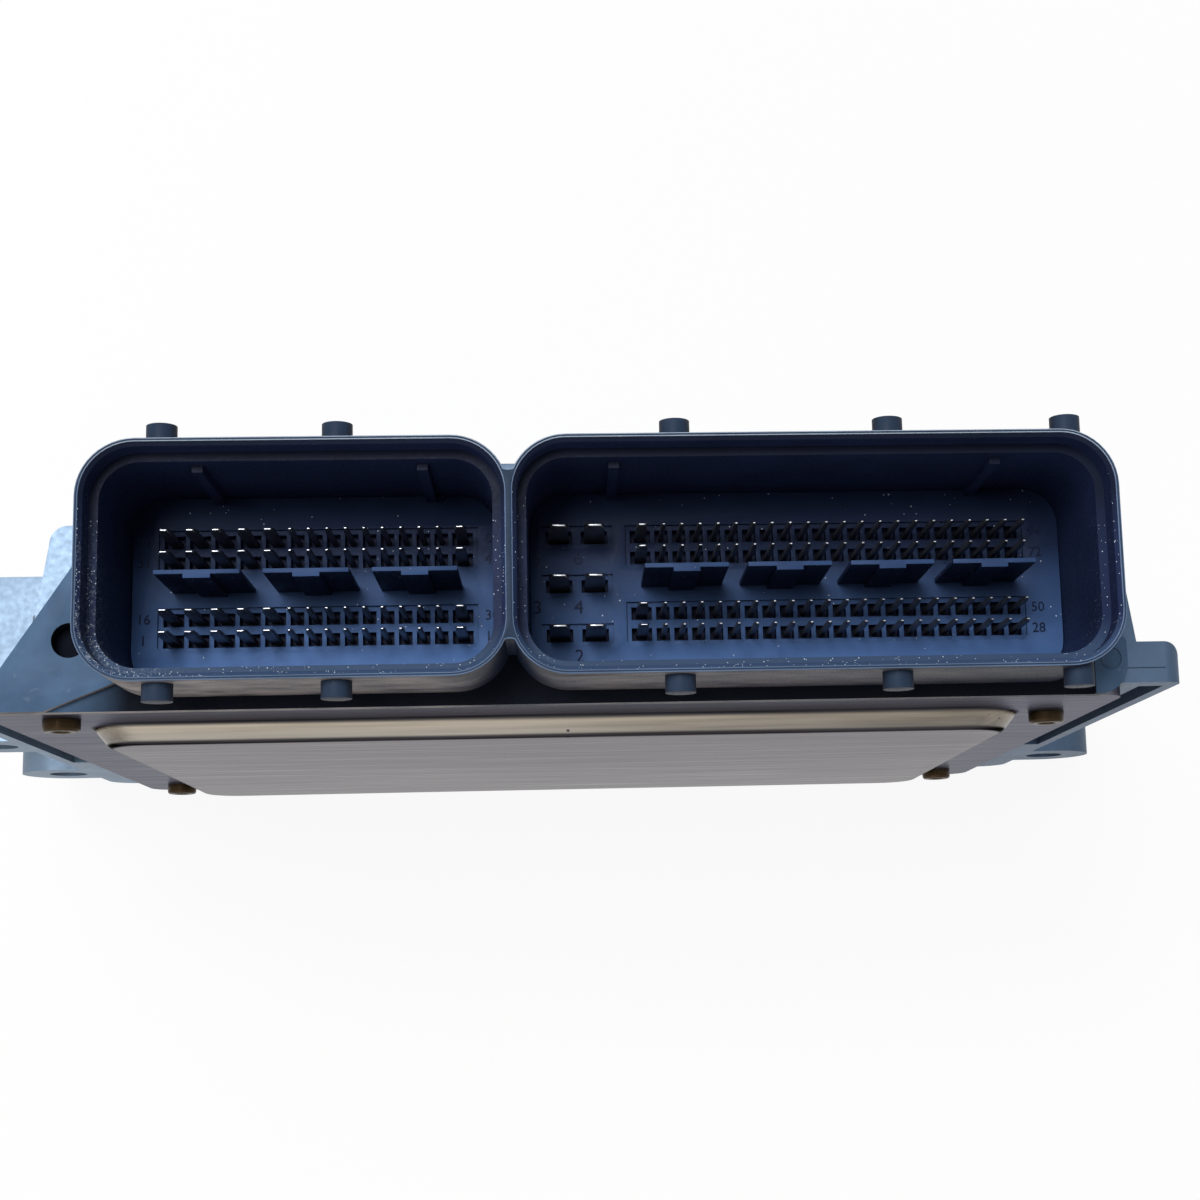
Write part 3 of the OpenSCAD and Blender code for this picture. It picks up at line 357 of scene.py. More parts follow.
def wall_nylon(look):
    """A socket's inner wall: dark, with painted light on its lower ledges and painted shade on its upper
    ledges, pale dust by the rim and clumps of it in one lower corner.
    """
    material, tree, shader, coords, coat = moulded_nylon("moulded_nylon_socket_wall", look.wall_colour,
                                                         look.painted_light_colour, 0.03)
    place = coords.outputs["Object"]
    near_rim = grows_along(tree, place, "Z", RIM_Z - 12 * MM, RIM_Z - 2 * MM)
    low = grows_along(tree, place, "Y", 6 * MM, -12 * MM)
    left = grows_along(tree, place, "X", BLOCK_A_LOW.x + 12 * MM, BLOCK_A_LOW.x)
    # painted light on the lower ledges, which face the light
    lower_ledge_light = [turned_to(tree, coords, "Z", 0.3, 0.8, 0.4),
                   grows_along(tree, place, "Y", -9 * MM, -13 * MM)]
    coat = over_coat(tree, shader, coat, lower_ledge_light, look.painted_light_colour)
    # painted shade on the upper ledges, in the dark recess colour
    upper_ledge_shade = [turned_to(tree, coords, "Z", 0.3, 0.8, 0.75),
                   grows_along(tree, place, "Y", 0.0, 8 * MM)]
    coat = over_coat(tree, shader, coat, upper_ledge_shade, look.recess_shade_colour)
    clumps = soft_patches(tree, place, 0.5, 5.0, 0.52, 0.72, 0.4)
    coat = over_coat(tree, shader, coat, [clumps, low, left, near_rim], look.dust_and_highlight_colour)
    below_top = grows_along(tree, place, "Y", 10 * MM, 3 * MM, 0.2)
    corner = add(tree, "ShaderNodeMath", {0: low, 1: left}, operation="MULTIPLY")
    more = add(tree, "ShaderNodeMath", {0: corner, 1: 0.7, 2: below_top}, operation="MULTIPLY_ADD")
    density = add(tree, "ShaderNodeMath", {0: near_rim, 1: more}, operation="MULTIPLY")
    over_coat(tree, shader, coat, [dust_specks(tree, place, density, 0.12)], look.dust_and_highlight_colour)
    return material


def block_nylon(name, look, share):
    """Contact block: the face round the pins takes a blue-grey painted light, full low down and fading to
    painted shade towards the top, with fine dust specks.
    """
    # painted light, strongest low down, fading to painted shade towards the top where the shroud's upper wall
    # shades the face
    material, tree, shader, coords, coat = moulded_nylon(name, look.block_colour, look.block_light_colour, share,
                                                         ("Y", -11 * MM, 5 * MM, 0.06))
    specks = dust_specks(tree, coords.outputs["Object"], 0.02, 0.16)
    over_coat(tree, shader, coat, [specks], look.dust_and_highlight_colour)
    return material


def cast_aluminium(look):
    """Die-cast aluminium, as cast: a matt, fine-grained skin whose blue tint is painted sky light, paler at
    its left side and darker towards its right as painted light and shade.
    """
    material, tree, shader, coords = start_material("die_cast_aluminium")
    place = coords.outputs["Object"]
    # painted light and shade: the casting grows darker from left to right
    shaded_side = grows_along(tree, place, "X", -70 * MM, 78 * MM)
    skin = add(tree, "ShaderNodeMixRGB", {"Fac": shaded_side, "Color1": look.lit_cast_colour,
                                          "Color2": look.shaded_cast_colour})
    patches = mottled(tree, place, 9, linear("#ECECEC"), linear("#FFFFFF"))
    tone = add(tree, "ShaderNodeMixRGB", {"Fac": 1.0, "Color1": skin, "Color2": patches},
               blend_type="MULTIPLY")
    tree.links.new(tone.outputs["Color"], shader.inputs["Base Color"])
    surface_grain(tree, shader, place, 0.9, 0.006, 0.48, 0.58)
    shader.inputs["Metallic"].default_value = 1.0
    return material


def pressing_bands(tree, place, look, tones):
    """Colour that follows the pressing from the cover's border, at 0, up to its panel, at 1."""
    rise = grows_along(tree, place, "Y", COVER_HIGH.y - look.sheet, COVER_LOW.y)
    bands = add(tree, "ShaderNodeValToRGB", {"Fac": rise})
    steps = bands.color_ramp.elements
    while len(steps) < len(tones):
        steps.new(0.5)
    for step, (where, colour) in zip(steps, tones):
        step.position = where
        step.color = colour
    return bands


def pressed_sheet(look):
    """Pressed aluminium sheet: satin and streaked along X, with a painted highlight at the panel's foot, a
    warm painted reflection on its flank, painted shade on its border and in its bends, and dark specks.
    """
    material, tree, shader, coords = start_material("pressed_aluminium_sheet")
    place = coords.outputs["Object"]
    # painted shade on the border and in the bends, a painted highlight at the foot of the flank, and a warm
    # painted reflection up the flank
    skin = pressing_bands(tree, place, look, (
        (0, look.border_shade_colour), (0.04, look.bend_shade_and_speck_colour), (0.2, look.foot_highlight_colour), (0.76, look.flank_reflection_colour),
        (0.86, look.bend_shade_and_speck_colour), (0.96, look.bend_shade_and_speck_colour), (1, look.sheet_colour)))
    # the same bands cut the grazing reflection in the bends, so that their painted shade stays dark
    glare = pressing_bands(tree, place, look, (
        (0, linear("#B8B8C0")), (0.1, linear("#707070")), (0.25, linear("#FFFFFF")),
        (0.76, linear("#FFFFFF")), (0.86, linear("#606060")), (0.96, linear("#606060")),
        (1, linear("#DAD8DA"))))
    tree.links.new(glare.outputs["Color"], shader.inputs["Specular Tint"])
    stretch = add(tree, "ShaderNodeMapping", {"Vector": place, "Scale": (0.03, 1, 1)})
    shine = soft_patches(tree, stretch, 0.8, 4.0, 0.3, 0.7, 1.2, 0.7)
    gloss = soft_patches(tree, stretch, 0.8, 4.0, 0.3, 0.7, 0.38, 0.24)
    tone = add(tree, "ShaderNodeVectorMath", {0: skin, "Scale": shine}, operation="SCALE")
    over_coat(tree, shader, tone, [dust_specks(tree, place, 0.05, 0.4)], look.bend_shade_and_speck_colour)
    tree.links.new(gloss.outputs["Result"], shader.inputs["Roughness"])
    shader.inputs["Metallic"].default_value = 1.0
    return material


def plated_metal(name, colour, patch_mm, grain_mm, rough_from, rough_to):
    """A plated metal part: even colour with duller patches, and a fine grain."""
    material, tree, shader, coords = start_material(name)
    place = coords.outputs["Object"]
    tone = mottled(tree, place, patch_mm, shade_of(colour, 0.7), colour)
    tree.links.new(tone.outputs["Color"], shader.inputs["Base Color"])
    surface_grain(tree, shader, place, grain_mm, 0.01, rough_from, rough_to)
    shader.inputs["Metallic"].default_value = 1.0
    return material


def dull_part(name, hex_colour, patch_mm, grain_mm, rough_from, rough_to):
    """A dull part inside the case: two close tones in patches, and the grain of its own surface."""
    material, tree, shader, coords = start_material(name)
    place = coords.outputs["Object"]
    colour = linear(hex_colour)
    tone = mottled(tree, place, patch_mm, shade_of(colour, 0.85), shade_of(colour, 1.1))
    tree.links.new(tone.outputs["Color"], shader.inputs["Base Color"])
    surface_grain(tree, shader, place, grain_mm, 0.02, rough_from, rough_to)
    return material


# Meshes


def piece_from(name, vertices, faces, slot, *materials):
    """A new piece of the object from points and faces, smooth except at its sharp edges."""
    mesh = bpy.data.meshes.new(name)
    mesh.from_pydata(vertices, [], faces)
    mesh.validate()
    for material in materials:
        mesh.materials.append(material)
    mesh.shade_smooth()
    mesh.set_sharp_from_angle(angle=math.radians(32))
    piece = bpy.data.objects.new(name, mesh)
    bpy.context.scene.collection.objects.link(piece)
    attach(piece, "root")
    return piece


def node_mesh(node):
    """The welded mesh of a CAD node, with its flat faces joined."""
    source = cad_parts[node].data
    bm = bmesh.new()
    for vertex in source.vertices:
        bm.verts.new(vertex.co)
    bm.verts.ensure_lookup_table()
    for polygon in source.polygons:
        bm.faces.new([bm.verts[i] for i in polygon.vertices])
    bmesh.ops.remove_doubles(bm, verts=bm.verts, dist=0.002 * MM)
    bmesh.ops.dissolve_limit(bm, angle_limit=math.radians(0.5), verts=bm.verts, edges=bm.edges)
    bmesh.ops.recalc_face_normals(bm, faces=bm.faces)
    return bm


def round_edges(bm, width, segments, chosen):
    """Rounds the sharp convex edges whose middle point is chosen."""
    edges = []
    for edge in bm.edges:
        sharp = len(edge.link_faces) == 2 and edge.is_convex and edge.calc_face_angle() > math.radians(30)
        if sharp and chosen((edge.verts[0].co + edge.verts[1].co) / 2):
            edges.append(edge)
    bmesh.ops.bevel(bm, geom=edges, offset=width, offset_type="OFFSET", segments=segments, profile=0.5,
                    affect="EDGES", clamp_overlap=True)


def with_edges(faces):
    """Faces together with their edges and corners, as a cut needs them."""
    return list({part for face in faces for part in (face, *face.edges, *face.verts)})


def depth_in_shroud(point):
    """How far a point lies inside the outline of the shroud that holds it; negative outside both."""
    depths = []
    for x0, x1, y0, y1 in SHROUDS:
        out = Vector((abs(point.x - (x0 + x1) / 2) - (x1 - x0) / 2 + SHROUD_R,
                      abs(point.y - (y0 + y1) / 2) - (y1 - y0) / 2 + SHROUD_R))
        depths.append(SHROUD_R - max(out.x, out.y) if min(out) < 0 else SHROUD_R - out.length)
    return max(depths)


def dressed_node(node, bm, slot, *materials):
    """The piece that shows a CAD node with its finished mesh."""
    bm.verts.index_update()
    vertices = [tuple(v.co) for v in bm.verts]
    faces = [[v.index for v in f.verts] for f in bm.faces]
    bm.free()
    piece = piece_from(node + "_finished", vertices, faces, slot, *materials)
    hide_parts(node)
    return piece


def rounded_ring(x0, x1, z0, z1, radius, y, steps=8):
    """Points of a rectangle with round corners, seen along Y."""
    points = []
    for cx, cz, start in ((x1 - radius, z1 - radius, 0), (x0 + radius, z1 - radius, 90),
                          (x0 + radius, z0 + radius, 180), (x1 - radius, z0 + radius, 270)):
        for i in range(steps + 1):
            angle = math.radians(start + 90 * i / steps)
            points.append((cx + radius * math.cos(angle), y, cz + radius * math.sin(angle)))
    return points


def lofted(rings):
    """Points and faces of a closed body through rings with the same number of points."""
    count = len(rings[0])
    vertices = [point for ring in rings for point in ring]
    faces = [list(range(count))[::-1], list(range(len(vertices) - count, len(vertices)))]
    for r in range(len(rings) - 1):
        for i in range(count):
            j = (i + 1) % count
            faces.append([r * count + i, r * count + j, (r + 1) * count + j, (r + 1) * count + i])
    return vertices, faces


# Operators


class ECU_OT_header(bpy.types.Operator):
    """Moulded header with rounded rims and dusty sockets"""

    bl_idname = "ecu.header"
    bl_label = "Header"

    # order of the header's materials
    OUTSIDE, WALL, RIM, WORN, RECESS, HOLE = range(6)
    # a rim's outer edge lies less deep in the shroud than this, its inner edge deeper
    rim_edge = 0.5 * MM

    def execute(self, context):
        look = context.scene.ecu_sockets
        bm = node_mesh("connector_header")
        on_rim = RIM_Z - 0.1 * MM
        round_edges(bm, look.rim_inner, 1, lambda p: p.z > on_rim and depth_in_shroud(p) > self.rim_edge)
        round_edges(bm, look.rim_outer, 2, lambda p: p.z > on_rim and depth_in_shroud(p) < self.rim_edge)
        below_strip = FLANGE_Z - STRIP_DEPTH - 0.2 * MM
        below_rim = RIM_Z - MM
        round_edges(bm, look.edge_round, 2,
                    lambda p: below_strip < p.z < below_rim and depth_in_shroud(p) < self.rim_edge)
        # a rim's top gets only a little of the painted light; its outer edge is worn and carries a painted
        # highlight, palest on the main plate's side
        rim = moulded_nylon("moulded_nylon_rim", look.header_colour, look.painted_light_colour, 0.2)[0]
        worn = moulded_nylon("moulded_nylon_worn_edge_highlight", look.worn_highlight_colour, look.dust_and_highlight_colour, 0.5,
                             ("Y", 15 * MM, 8 * MM, 0.0))[0]
        # the strip beside the cover gets painted light at its open end and the dark recess colour, a painted
        # shade, behind the shrouds
        recess = moulded_nylon("moulded_nylon_recess_shade", look.recess_shade_colour, look.painted_light_colour, 0.8,
                               ("X", STRIP_LEFT, STRIP_LEFT + 8 * MM, 0.0), (0.6, 0.75))[0]
        # the flange hole is all the dark recess colour: painted shade on its floor
        hole = moulded_nylon("moulded_nylon_hole_shade", look.recess_shade_colour, look.recess_shade_colour, 0.0,
                             rough=(0.75, 0.9))[0]
        piece = dressed_node("connector_header", bm, "header_plastic", header_nylon(look), wall_nylon(look),
                             rim, worn, recess, hole)
        for polygon in piece.data.polygons:
            polygon.material_index = self.finish_of(polygon.center, polygon.normal)
        return {"FINISHED"}

    def finish_of(self, place, normal):
        """Which of the header's materials a face has, by its place and the way it looks."""
        depth = depth_in_shroud(place)
        if depth < -0.3 * MM and abs(place.z - PEG_Z) < PEG_R:
            return self.RIM
        if place.z > RIM_Z - 0.5 * MM and abs(normal.z) > 0.2:
            slope = self.WALL if depth > self.rim_edge else self.WORN
            return self.RIM if normal.z > 0.95 else slope
        on_flange = abs(place.z - FLANGE_Z) < 0.2 * MM and normal.z > 0.5
        in_strip = abs(place.z - FLANGE_Z + STRIP_DEPTH) < 0.1 * MM and normal.z > 0.5
        in_hole = (place.xy - FLANGE_HOLE).length < FLANGE_HOLE_R and place.z < FLANGE_Z - 0.5 * MM
        if in_strip:
            return self.RECESS
        if in_hole:
            return self.HOLE
        return self.WALL if depth > 0.7 * MM and not on_flange else self.OUTSIDE


class ECU_OT_blocks(bpy.types.Operator):
    """Contact blocks with softened window edges, and their moulded pin numbers"""

    bl_idname = "ecu.blocks"
    bl_label = "Contact blocks"

    # order of a block's materials
    FACE, EDGE, CLEAN = range(3)
    # faces this near a blade's front are part of it
    front_reach = 0.3 * MM

    def execute(self, context):
        look = context.scene.ecu_sockets
        # raised strokes and the insides of the windows get none of the painted light
        clean = moulded_nylon("moulded_nylon_numbers", look.block_colour, look.block_colour, 0.0)[0]
        # a blade's front edge gets less of the painted light; the rib on it keeps the full painted light as a
        # painted highlight
        edge = moulded_nylon("moulded_nylon_blade_edge", look.block_colour, look.block_light_colour, 0.3)[0]
        # contact_block_k gets less of the painted light, as painted shade where less light reaches it
        for node, share in (("contact_block_a", 1.0), ("contact_block_k", 0.7)):
            nylon = block_nylon("moulded_nylon_" + node, look, share)
            bm = node_mesh(node)
            self.split_fronts(bm)
            round_edges(bm, look.block_round, 2, lambda p: p.z > BLOCK_Z - 0.6 * MM)
            piece = dressed_node(node, bm, "block_plastic", nylon, edge, clean)
            for polygon in piece.data.polygons:
                lowest = min(piece.data.vertices[i].co.y for i in polygon.vertices)
                front = polygon.center.z > BLADE_FRONT - self.front_reach
                window = polygon.center.z < BLOCK_Z - 0.7 * MM
                edge_or_face = self.EDGE if front and lowest > -0.5 * MM else self.FACE
                polygon.material_index = self.CLEAN if window else edge_or_face
        numbers = []
        for row, y in enumerate(SUPPLY_YS):
            below = y - SUPPLY_NUMBER_BELOW
            numbers.append((str(5 - 2 * row), SUPPLY_X - SUPPLY_NUMBER_LEFT, below, look.digit_size))
            numbers.append((str(6 - 2 * row), SUPPLY_X + SUPPLY_NUMBER_RIGHT, below, look.digit_size))
        for row, y in enumerate(ROW_YS):
            numbers.append((str(46 - 15 * row), A_PINS_LOW.x - A_NUMBER_ASIDE, y, look.row_size))
            numbers.append((str(60 - 15 * row), A_PINS_HIGH.x + A_NUMBER_ASIDE, y, look.row_size))
            numbers.append((str(94 - 22 * row), K_PINS_HIGH.x + K_NUMBER_ASIDE, y, look.row_size))
        for text, x, y, size in numbers:
            self.number(text, x, y, size, look.digit_rise, clean)
        return {"FINISHED"}

    def split_fronts(self, bm):
        """Cuts the front face of each partition blade beside its rib."""
        def fronts():
            least = BLADE_FRONT - self.front_reach
            return [f for f in bm.faces if f.normal.z > 0.9 and f.calc_center_median().z > least]
        cuts = []
        for face in fronts():
            cuts += sorted({round(v.co.x, 6) for v in face.verts})[1:-1]
        for x in cuts:
            bmesh.ops.bisect_plane(bm, geom=with_edges(fronts()), dist=0.001 * MM, plane_co=(x, 0, 0),
                                   plane_no=(1, 0, 0))

    def number(self, text, x, y, size, rise, nylon):
        """One moulded number on a contact block's face."""
        curve = bpy.data.curves.new("number", "FONT")
        curve.body = text
        curve.size = size * TYPE_TO_DIGIT
        curve.align_x = "CENTER"
        curve.align_y = "CENTER"
        curve.extrude = rise
        curve.resolution_u = 3
        flat = bpy.data.objects.new("number", curve)
        mesh = bpy.data.meshes.new_from_object(flat)
        bpy.data.objects.remove(flat)
        bpy.data.curves.remove(curve)
        mesh.transform(Matrix.Translation((x, y, BLOCK_Z)))
        vertices = [tuple(v.co) for v in mesh.vertices]
        faces = [list(p.vertices) for p in mesh.polygons]
        bpy.data.meshes.remove(mesh)
        name = "number_%s_%d" % (text, round(x / MM) + 100)
        piece_from(name, vertices, faces, "block_plastic", nylon)


class ECU_OT_pins(bpy.types.Operator):
    """Plated pins with drawn-in tips and broken edges, so that the tips catch the light"""

    bl_idname = "ecu.pins"
    bl_label = "Contact pins"

    def execute(self, context):
        look = context.scene.ecu_case
        # tin on brass: the faces turned to +Z are bright, partly rubbed tips and partly painted highlight;
        # the rest is a darker grey, partly tarnish and partly painted shade
        tin = plated_metal("tin_plated_brass", look.tin_colour, 2, 0.3, 0.28, 0.45)
        tarnished = plated_metal("shaded_tin", look.pin_shade_colour, 2, 0.3, 0.4, 0.55)
        for node in ("pins_a_signal", "pins_a_load", "pins_k_signal", "pins_k_load", "pins_k_supply"):
            bm = node_mesh(node)
            self.taper(bm, look.pin_taper)
            round_edges(bm, look.pin_round, 1, lambda p: p.z > BLOCK_Z)
            piece = dressed_node(node, bm, "pin_metal", tin, tarnished)
            for polygon in piece.data.polygons:
                # painted highlight on the faces turned to +Z, painted shade on the rest
                polygon.material_index = 0 if polygon.normal.z > 0.3 else 1
        return {"FINISHED"}

    def taper(self, bm, share):
        """Draws each pin's tip in from all sides."""
        tips = [f for f in bm.faces if all(v.co.z > A_PINS_HIGH.z - 0.01 * MM for v in f.verts)]
        for face in tips:
            middle = face.calc_center_median()
            for vertex in face.verts:
                vertex.co = middle + (vertex.co - middle) * share


class ECU_OT_housing(bpy.types.Operator):
    """Cast housing with the rounded edges that a die gives"""

    bl_idname = "ecu.housing"
    bl_label = "Housing"

    def execute(self, context):
        look = context.scene.ecu_case
        bm = node_mesh("housing")
        plate_y = HOUSING_HIGH.y - RIB_H
        rear_z = 0.1 * MM
        side_x = HOUSING_HIGH.x - 22 * MM
        seat_y = HOUSING_LOW.y + 0.1 * MM
        round_edges(bm, look.plate_round, 4, lambda p: p.z < rear_z and p.y > SHROUDS[0][3] - SHROUD_R)
        round_edges(bm, look.cast_round, 2, lambda p: p.y > plate_y - 0.1 * MM and p.z > rear_z)
        round_edges(bm, look.cast_round, 2, lambda p: abs(p.x) > side_x and p.z > rear_z and p.y > seat_y)
        self.parting_line(bm, HOUSING_LOW.y + look.parting_rise, look.parting_width)
        dressed_node("housing", bm, "cast_aluminium", cast_aluminium(look))
        return {"FINISHED"}

    def parting_line(self, bm, y, width):
        """The die's parting line: a fine groove across the front end of the right rail."""
        def ends():
            return [f for f in bm.faces if f.normal.z > 0.99
                    and all(v.co.z > HOUSING_HIGH.z - 0.01 * MM for v in f.verts)
                    and max(v.co.x for v in f.verts) > COVER_HIGH.x]
        for side in (-0.5, 0.5):
            bmesh.ops.bisect_plane(bm, geom=with_edges(ends()), dist=0.001 * MM,
                                   plane_co=(0, y + side * width, 0), plane_no=(0, 1, 0))
        line = [f for f in ends() if abs(f.calc_center_median().y - y) < width / 4]
        if not line:
            raise RuntimeError("the right rail has no end face for its parting line")
        sunk = bmesh.ops.extrude_discrete_faces(bm, faces=line)["faces"]
        for vertex in {v for f in sunk for v in f.verts}:
            vertex.co.z -= 1.5 * width


class ECU_OT_cover(bpy.types.Operator):
    """Pressed cover with bend radii round its raised panel"""

    bl_idname = "ecu.cover"
    bl_label = "Cover"

    def execute(self, context):
        look = context.scene.ecu_case
        outer = self.skin(look, COVER_HIGH.y - look.sheet, COVER_LOW.y, 0)
        inner = self.skin(look, COVER_HIGH.y, COVER_LOW.y + look.sheet, look.sheet * 0.5)
        vertices, faces = lofted(inner[::-1] + outer)
        piece = piece_from("cover_finished", vertices, faces, "cover_sheet", pressed_sheet(look))
        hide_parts("cover")
        return {"FINISHED"}

    def skin(self, look, border_y, panel_y, inset):
        """Rings of one face of the sheet, from its outer edge in to the panel."""
        rise = border_y - panel_y
        slope = math.atan2(rise, look.panel_run)
        profile = [(-look.panel_front, 0)]
        foot = look.foot_bend * math.tan(slope / 2)
        top = look.top_bend * math.tan(slope / 2)
        steps = 5
        for i in range(steps + 1):
            turn = slope * i / steps
            profile.append((-foot + look.foot_bend * math.sin(turn), look.foot_bend * (1 - math.cos(turn))))
        for i in range(steps + 1):
            turn = slope * (1 - i / steps)
            profile.append((look.panel_run + top - look.top_bend * math.sin(turn),
                            rise - look.top_bend * (1 - math.cos(turn))))
        rings = []
        for n, (u, h) in enumerate(profile):
            side, front, rear = (0, 0, 0) if n == 0 else (
                look.panel_side + inset + u, look.panel_front + inset + u, look.panel_rear + inset + u)
            corner = COVER_CORNER if n == 0 else look.panel_corner - u / 2
            rings.append(rounded_ring(COVER_LOW.x + side, COVER_HIGH.x - side, COVER_LOW.z + rear,
                                      COVER_HIGH.z - front, corner, border_y - h))
        return rings


class ECU_OT_fasteners(bpy.types.Operator):
    """Plated screws with rounded heads"""

    bl_idname = "ecu.fasteners"
    bl_label = "Screws"

    def execute(self, context):
        look = context.scene.ecu_case
        # yellow zinc on steel, aged to bronze: dark gold with duller worn patches
        zinc = plated_metal("yellow_zinc_steel", look.screw_colour, 3, 0.4, 0.3, 0.5)
        bm = node_mesh("cover_screws")
        head_top = COVER_HIGH.y - look.sheet - SCREW_HEAD_H
        round_edges(bm, look.screw_round, 3, lambda p: p.y < head_top + 0.3 * MM)
        dressed_node("cover_screws", bm, "screw_steel", zinc)
        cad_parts["board_screws"].data.materials.clear()
        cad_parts["board_screws"].data.materials.append(zinc)
        return {"FINISHED"}


class ECU_OT_inside(bpy.types.Operator):
    """Circuit board, its parts, the seals and the vent"""

    bl_idname = "ecu.inside"
    bl_label = "Board, seals and vent"

    def execute(self, context):
        look = context.scene.ecu_sockets
        # solder mask over glass laminate: deep green and glossy
        board = dull_part("solder_mask_laminate", "#1F5A35", 8, 0.5, 0.2, 0.32)
        # epoxy round a chip: charcoal, matt, finely pitted
        epoxy = dull_part("epoxy_mould_compound", "#26272A", 4, 0.2, 0.5, 0.65)
        # printed sleeve on an aluminium can: dark blue and smooth
        sleeve = dull_part("sleeved_aluminium_can", "#2B3A66", 10, 1.0, 0.25, 0.35)
        # fired ceramic: tan and even
        ceramic = dull_part("fired_ceramic", "#B08B62", 1, 0.2, 0.4, 0.5)
        # pressed ferrite: dark grey, matt
        ferrite = dull_part("pressed_ferrite", "#4A4A4C", 3, 0.3, 0.55, 0.7)
        # coated metal strip: black lacquer
        strip = dull_part("lacquered_metal_strip", "#18181A", 2, 0.3, 0.3, 0.45)
        # nickel on a drawn can: bright grey
        nickel = plated_metal("nickel_plated_can", linear("#B5B4B0"), 2, 0.3, 0.2, 0.35)
        # silicone gap filler: pale blue, soft, dusty to the touch
        pad = dull_part("silicone_gap_pad", "#8FB0C4", 3, 0.4, 0.6, 0.75)
        # cured silicone bead: mid grey rubber
        rubber = dull_part("silicone_rubber", "#6C6E70", 4, 0.4, 0.45, 0.6)
        # stretched film: white, fibrous
        film = dull_part("porous_film", "#E6E6E2", 1, 0.15, 0.6, 0.7)
        finishes = {
            "circuit_board": board, "microcontroller": epoxy, "flash_memory": epoxy, "driver_chips": epoxy,
            "power_mosfets": epoxy, "pressure_sensor": epoxy, "boost_capacitors": sleeve,
            "ceramic_capacitors": ceramic, "power_inductors": ferrite, "shunt_resistors": strip,
            "crystal": nickel, "thermal_pads": pad, "cover_seal": rubber, "header_seal": rubber,
            "vent_membrane": film,
        }
        for node, material in finishes.items():
            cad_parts[node].data.materials.clear()
            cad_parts[node].data.materials.append(material)
        bm = node_mesh("vent_plug")
        round_edges(bm, look.vent_round, 2, lambda p: p.y > HOUSING_HIGH.y)
        dressed_node("vent_plug", bm, "header_plastic", bpy.data.materials["moulded_nylon_header"])
        return {"FINISHED"}


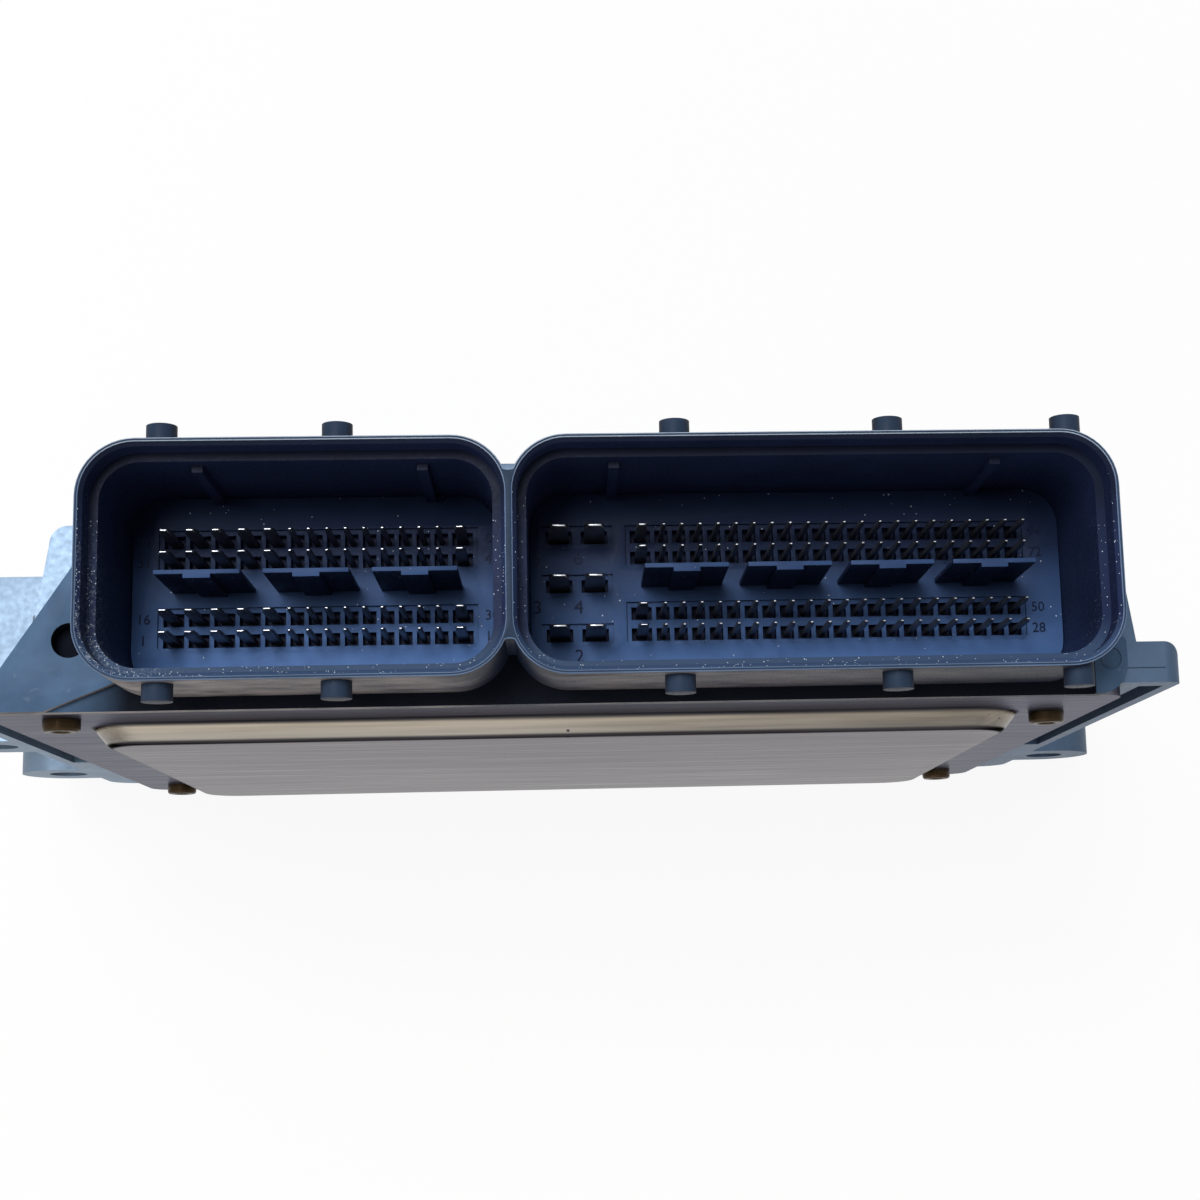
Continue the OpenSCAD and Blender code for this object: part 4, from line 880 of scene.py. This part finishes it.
class ECU_OT_stage(bpy.types.Operator):
    """Pale floor, soft light and the camera"""

    bl_idname = "ecu.stage"
    bl_label = "Stage"

    def execute(self, context):
        scene = context.scene
        look = scene.ecu_stage
        scene.view_settings.view_transform = "Standard"
        self.floor(scene, look)
        self.surroundings(scene)
        self.lamp(scene, "key_light", KEY_AT, KEY_SIZE, look.key_power)
        self.lamp(scene, "fill_light", FILL_AT, FILL_SIZE, look.fill_power)
        self.camera(scene, look)
        return {"FINISHED"}

    def seen(self, tree):
        """1 for rays that show the background: from the camera, in gloss and through clear parts."""
        path = add(tree, "ShaderNodeLightPath")
        shown = add(tree, "ShaderNodeMath", {0: path.outputs["Is Camera Ray"],
                                             1: path.outputs["Is Glossy Ray"]}, operation="ADD")
        return add(tree, "ShaderNodeMath", {0: shown, 1: path.outputs["Is Transmission Ray"]},
                   operation="ADD", use_clamp=True)

    def floor(self, scene, look):
        """White paper floor: it shows white, and keeps a faint shadow."""
        half = look.floor_size / 2
        mesh = bpy.data.meshes.new("floor")
        mesh.from_pydata([(-half, -half, 0), (half, -half, 0), (half, half, 0), (-half, half, 0)], [],
                         [(0, 1, 2, 3)])
        material = bpy.data.materials.new("white_paper")
        material.use_nodes = True
        tree = material.node_tree
        tree.nodes.clear()
        paper = add(tree, "ShaderNodeBsdfDiffuse", {"Color": linear("#F2F2F0")})
        white = add(tree, "ShaderNodeEmission", {"Color": linear("#FFFFFF"), "Strength": 1.0})
        place = add(tree, "ShaderNodeTexCoord").outputs["Object"]
        away = add(tree, "ShaderNodeVectorMath", {0: place}, operation="LENGTH")
        # the shadow lies near the unit; farther off the paper runs out into the white background
        plain = add(tree, "ShaderNodeMapRange", {"Value": away.outputs["Value"], "From Min": 0.2,
                                                 "From Max": 0.7, "To Min": 0.92, "To Max": 1.0})
        share = add(tree, "ShaderNodeMath", {0: self.seen(tree), 1: plain}, operation="MULTIPLY")
        mixed = add(tree, "ShaderNodeMixShader", {"Fac": share, 1: paper, 2: white})
        add(tree, "ShaderNodeOutputMaterial", {"Surface": mixed})
        mesh.materials.append(material)
        floor = bpy.data.objects.new("floor", mesh)
        scene.collection.objects.link(floor)

    def surroundings(self, scene):
        """Soft light from all round: cool from the main plate's side, warm and dim from the cover's side."""
        world = bpy.data.worlds.new("soft_room")
        world.use_nodes = True
        tree = world.node_tree
        tree.nodes.clear()
        way = add(tree, "ShaderNodeTexCoord").outputs["Generated"]
        side = grows_along(tree, way, "Y", -0.8, 0.9)
        tint = add(tree, "ShaderNodeMixRGB", {"Fac": side, "Color1": linear("#9A8A78"),
                                              "Color2": linear("#DCE6F5")})
        light = add(tree, "ShaderNodeBackground", {"Color": tint, "Strength": 0.4})
        white = add(tree, "ShaderNodeBackground", {"Color": linear("#FFFFFF"), "Strength": 1.0})
        mixed = add(tree, "ShaderNodeMixShader", {"Fac": self.seen(tree), 1: light, 2: white})
        add(tree, "ShaderNodeOutputWorld", {"Surface": mixed})
        scene.world = world

    def lamp(self, scene, name, place, size, power):
        """A large soft lamp that faces the unit."""
        light = bpy.data.lights.new(name, "AREA")
        light.size = size
        light.energy = power
        lamp = bpy.data.objects.new(name, light)
        lamp.location = place
        middle = Vector((0, 0, RIM_Z / 2))
        lamp.rotation_mode = "QUATERNION"
        lamp.rotation_quaternion = (middle - Vector(place)).to_track_quat("-Z", "Y")
        scene.collection.objects.link(lamp)

    def camera(self, scene, look):
        """The photograph's view: its angle of view, and its frame a little off the lens axis."""
        data = bpy.data.cameras.new("camera")
        data.sensor_width = 36
        data.lens = data.sensor_width * FOCAL_PX / FRAME_PX
        data.shift_x = (FRAME_PX / 2 - MIDDLE_PX[0]) / FRAME_PX
        data.shift_y = (MIDDLE_PX[1] - FRAME_PX / 2) / FRAME_PX
        data.clip_start = 0.01
        camera = bpy.data.objects.new("camera", data)
        back = -Vector(look.camera_forward).normalized()
        right = Vector(look.camera_up).cross(back).normalized()
        up = back.cross(right)
        turn = Matrix((right, up, back)).transposed().to_4x4()
        camera.matrix_world = Matrix.Translation(look.camera_at) @ turn
        scene.collection.objects.link(camera)
        scene.camera = camera


class ECU_PT_panel(bpy.types.Panel):
    """Lists the steps that dress the control unit"""

    bl_idname = "ECU_PT_panel"
    bl_label = "Control unit"
    bl_space_type = "VIEW_3D"
    bl_region_type = "UI"
    bl_category = "Control unit"

    def draw(self, context):
        for step in STEPS:
            self.layout.operator(step.bl_idname)
        for group in (context.scene.ecu_sockets, context.scene.ecu_case, context.scene.ecu_stage):
            for name in group.__annotations__:
                self.layout.prop(group, name)


GROUPS = {"ecu_sockets": SocketLook, "ecu_case": CaseLook, "ecu_stage": StageLook}
STEPS = (ECU_OT_header, ECU_OT_blocks, ECU_OT_pins, ECU_OT_housing, ECU_OT_cover, ECU_OT_fasteners,
         ECU_OT_inside, ECU_OT_stage)


def register():
    """Registers the settings, the steps and the panel."""
    for name, group in GROUPS.items():
        bpy.utils.register_class(group)
        setattr(bpy.types.Scene, name, bpy.props.PointerProperty(type=group))
    for step in STEPS:
        bpy.utils.register_class(step)
    bpy.utils.register_class(ECU_PT_panel)


def unregister():
    """Takes all of it away again."""
    bpy.utils.unregister_class(ECU_PT_panel)
    for step in reversed(STEPS):
        bpy.utils.unregister_class(step)
    for name, group in reversed(GROUPS.items()):
        delattr(bpy.types.Scene, name)
        bpy.utils.unregister_class(group)


def main():
    """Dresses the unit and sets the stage."""
    register()
    bpy.ops.ecu.header()
    bpy.ops.ecu.blocks()
    bpy.ops.ecu.pins()
    bpy.ops.ecu.housing()
    bpy.ops.ecu.cover()
    bpy.ops.ecu.fasteners()
    bpy.ops.ecu.inside()
    bpy.ops.ecu.stage()
    bpy.context.view_layer.update()


if __name__ == "__main__":
    main()
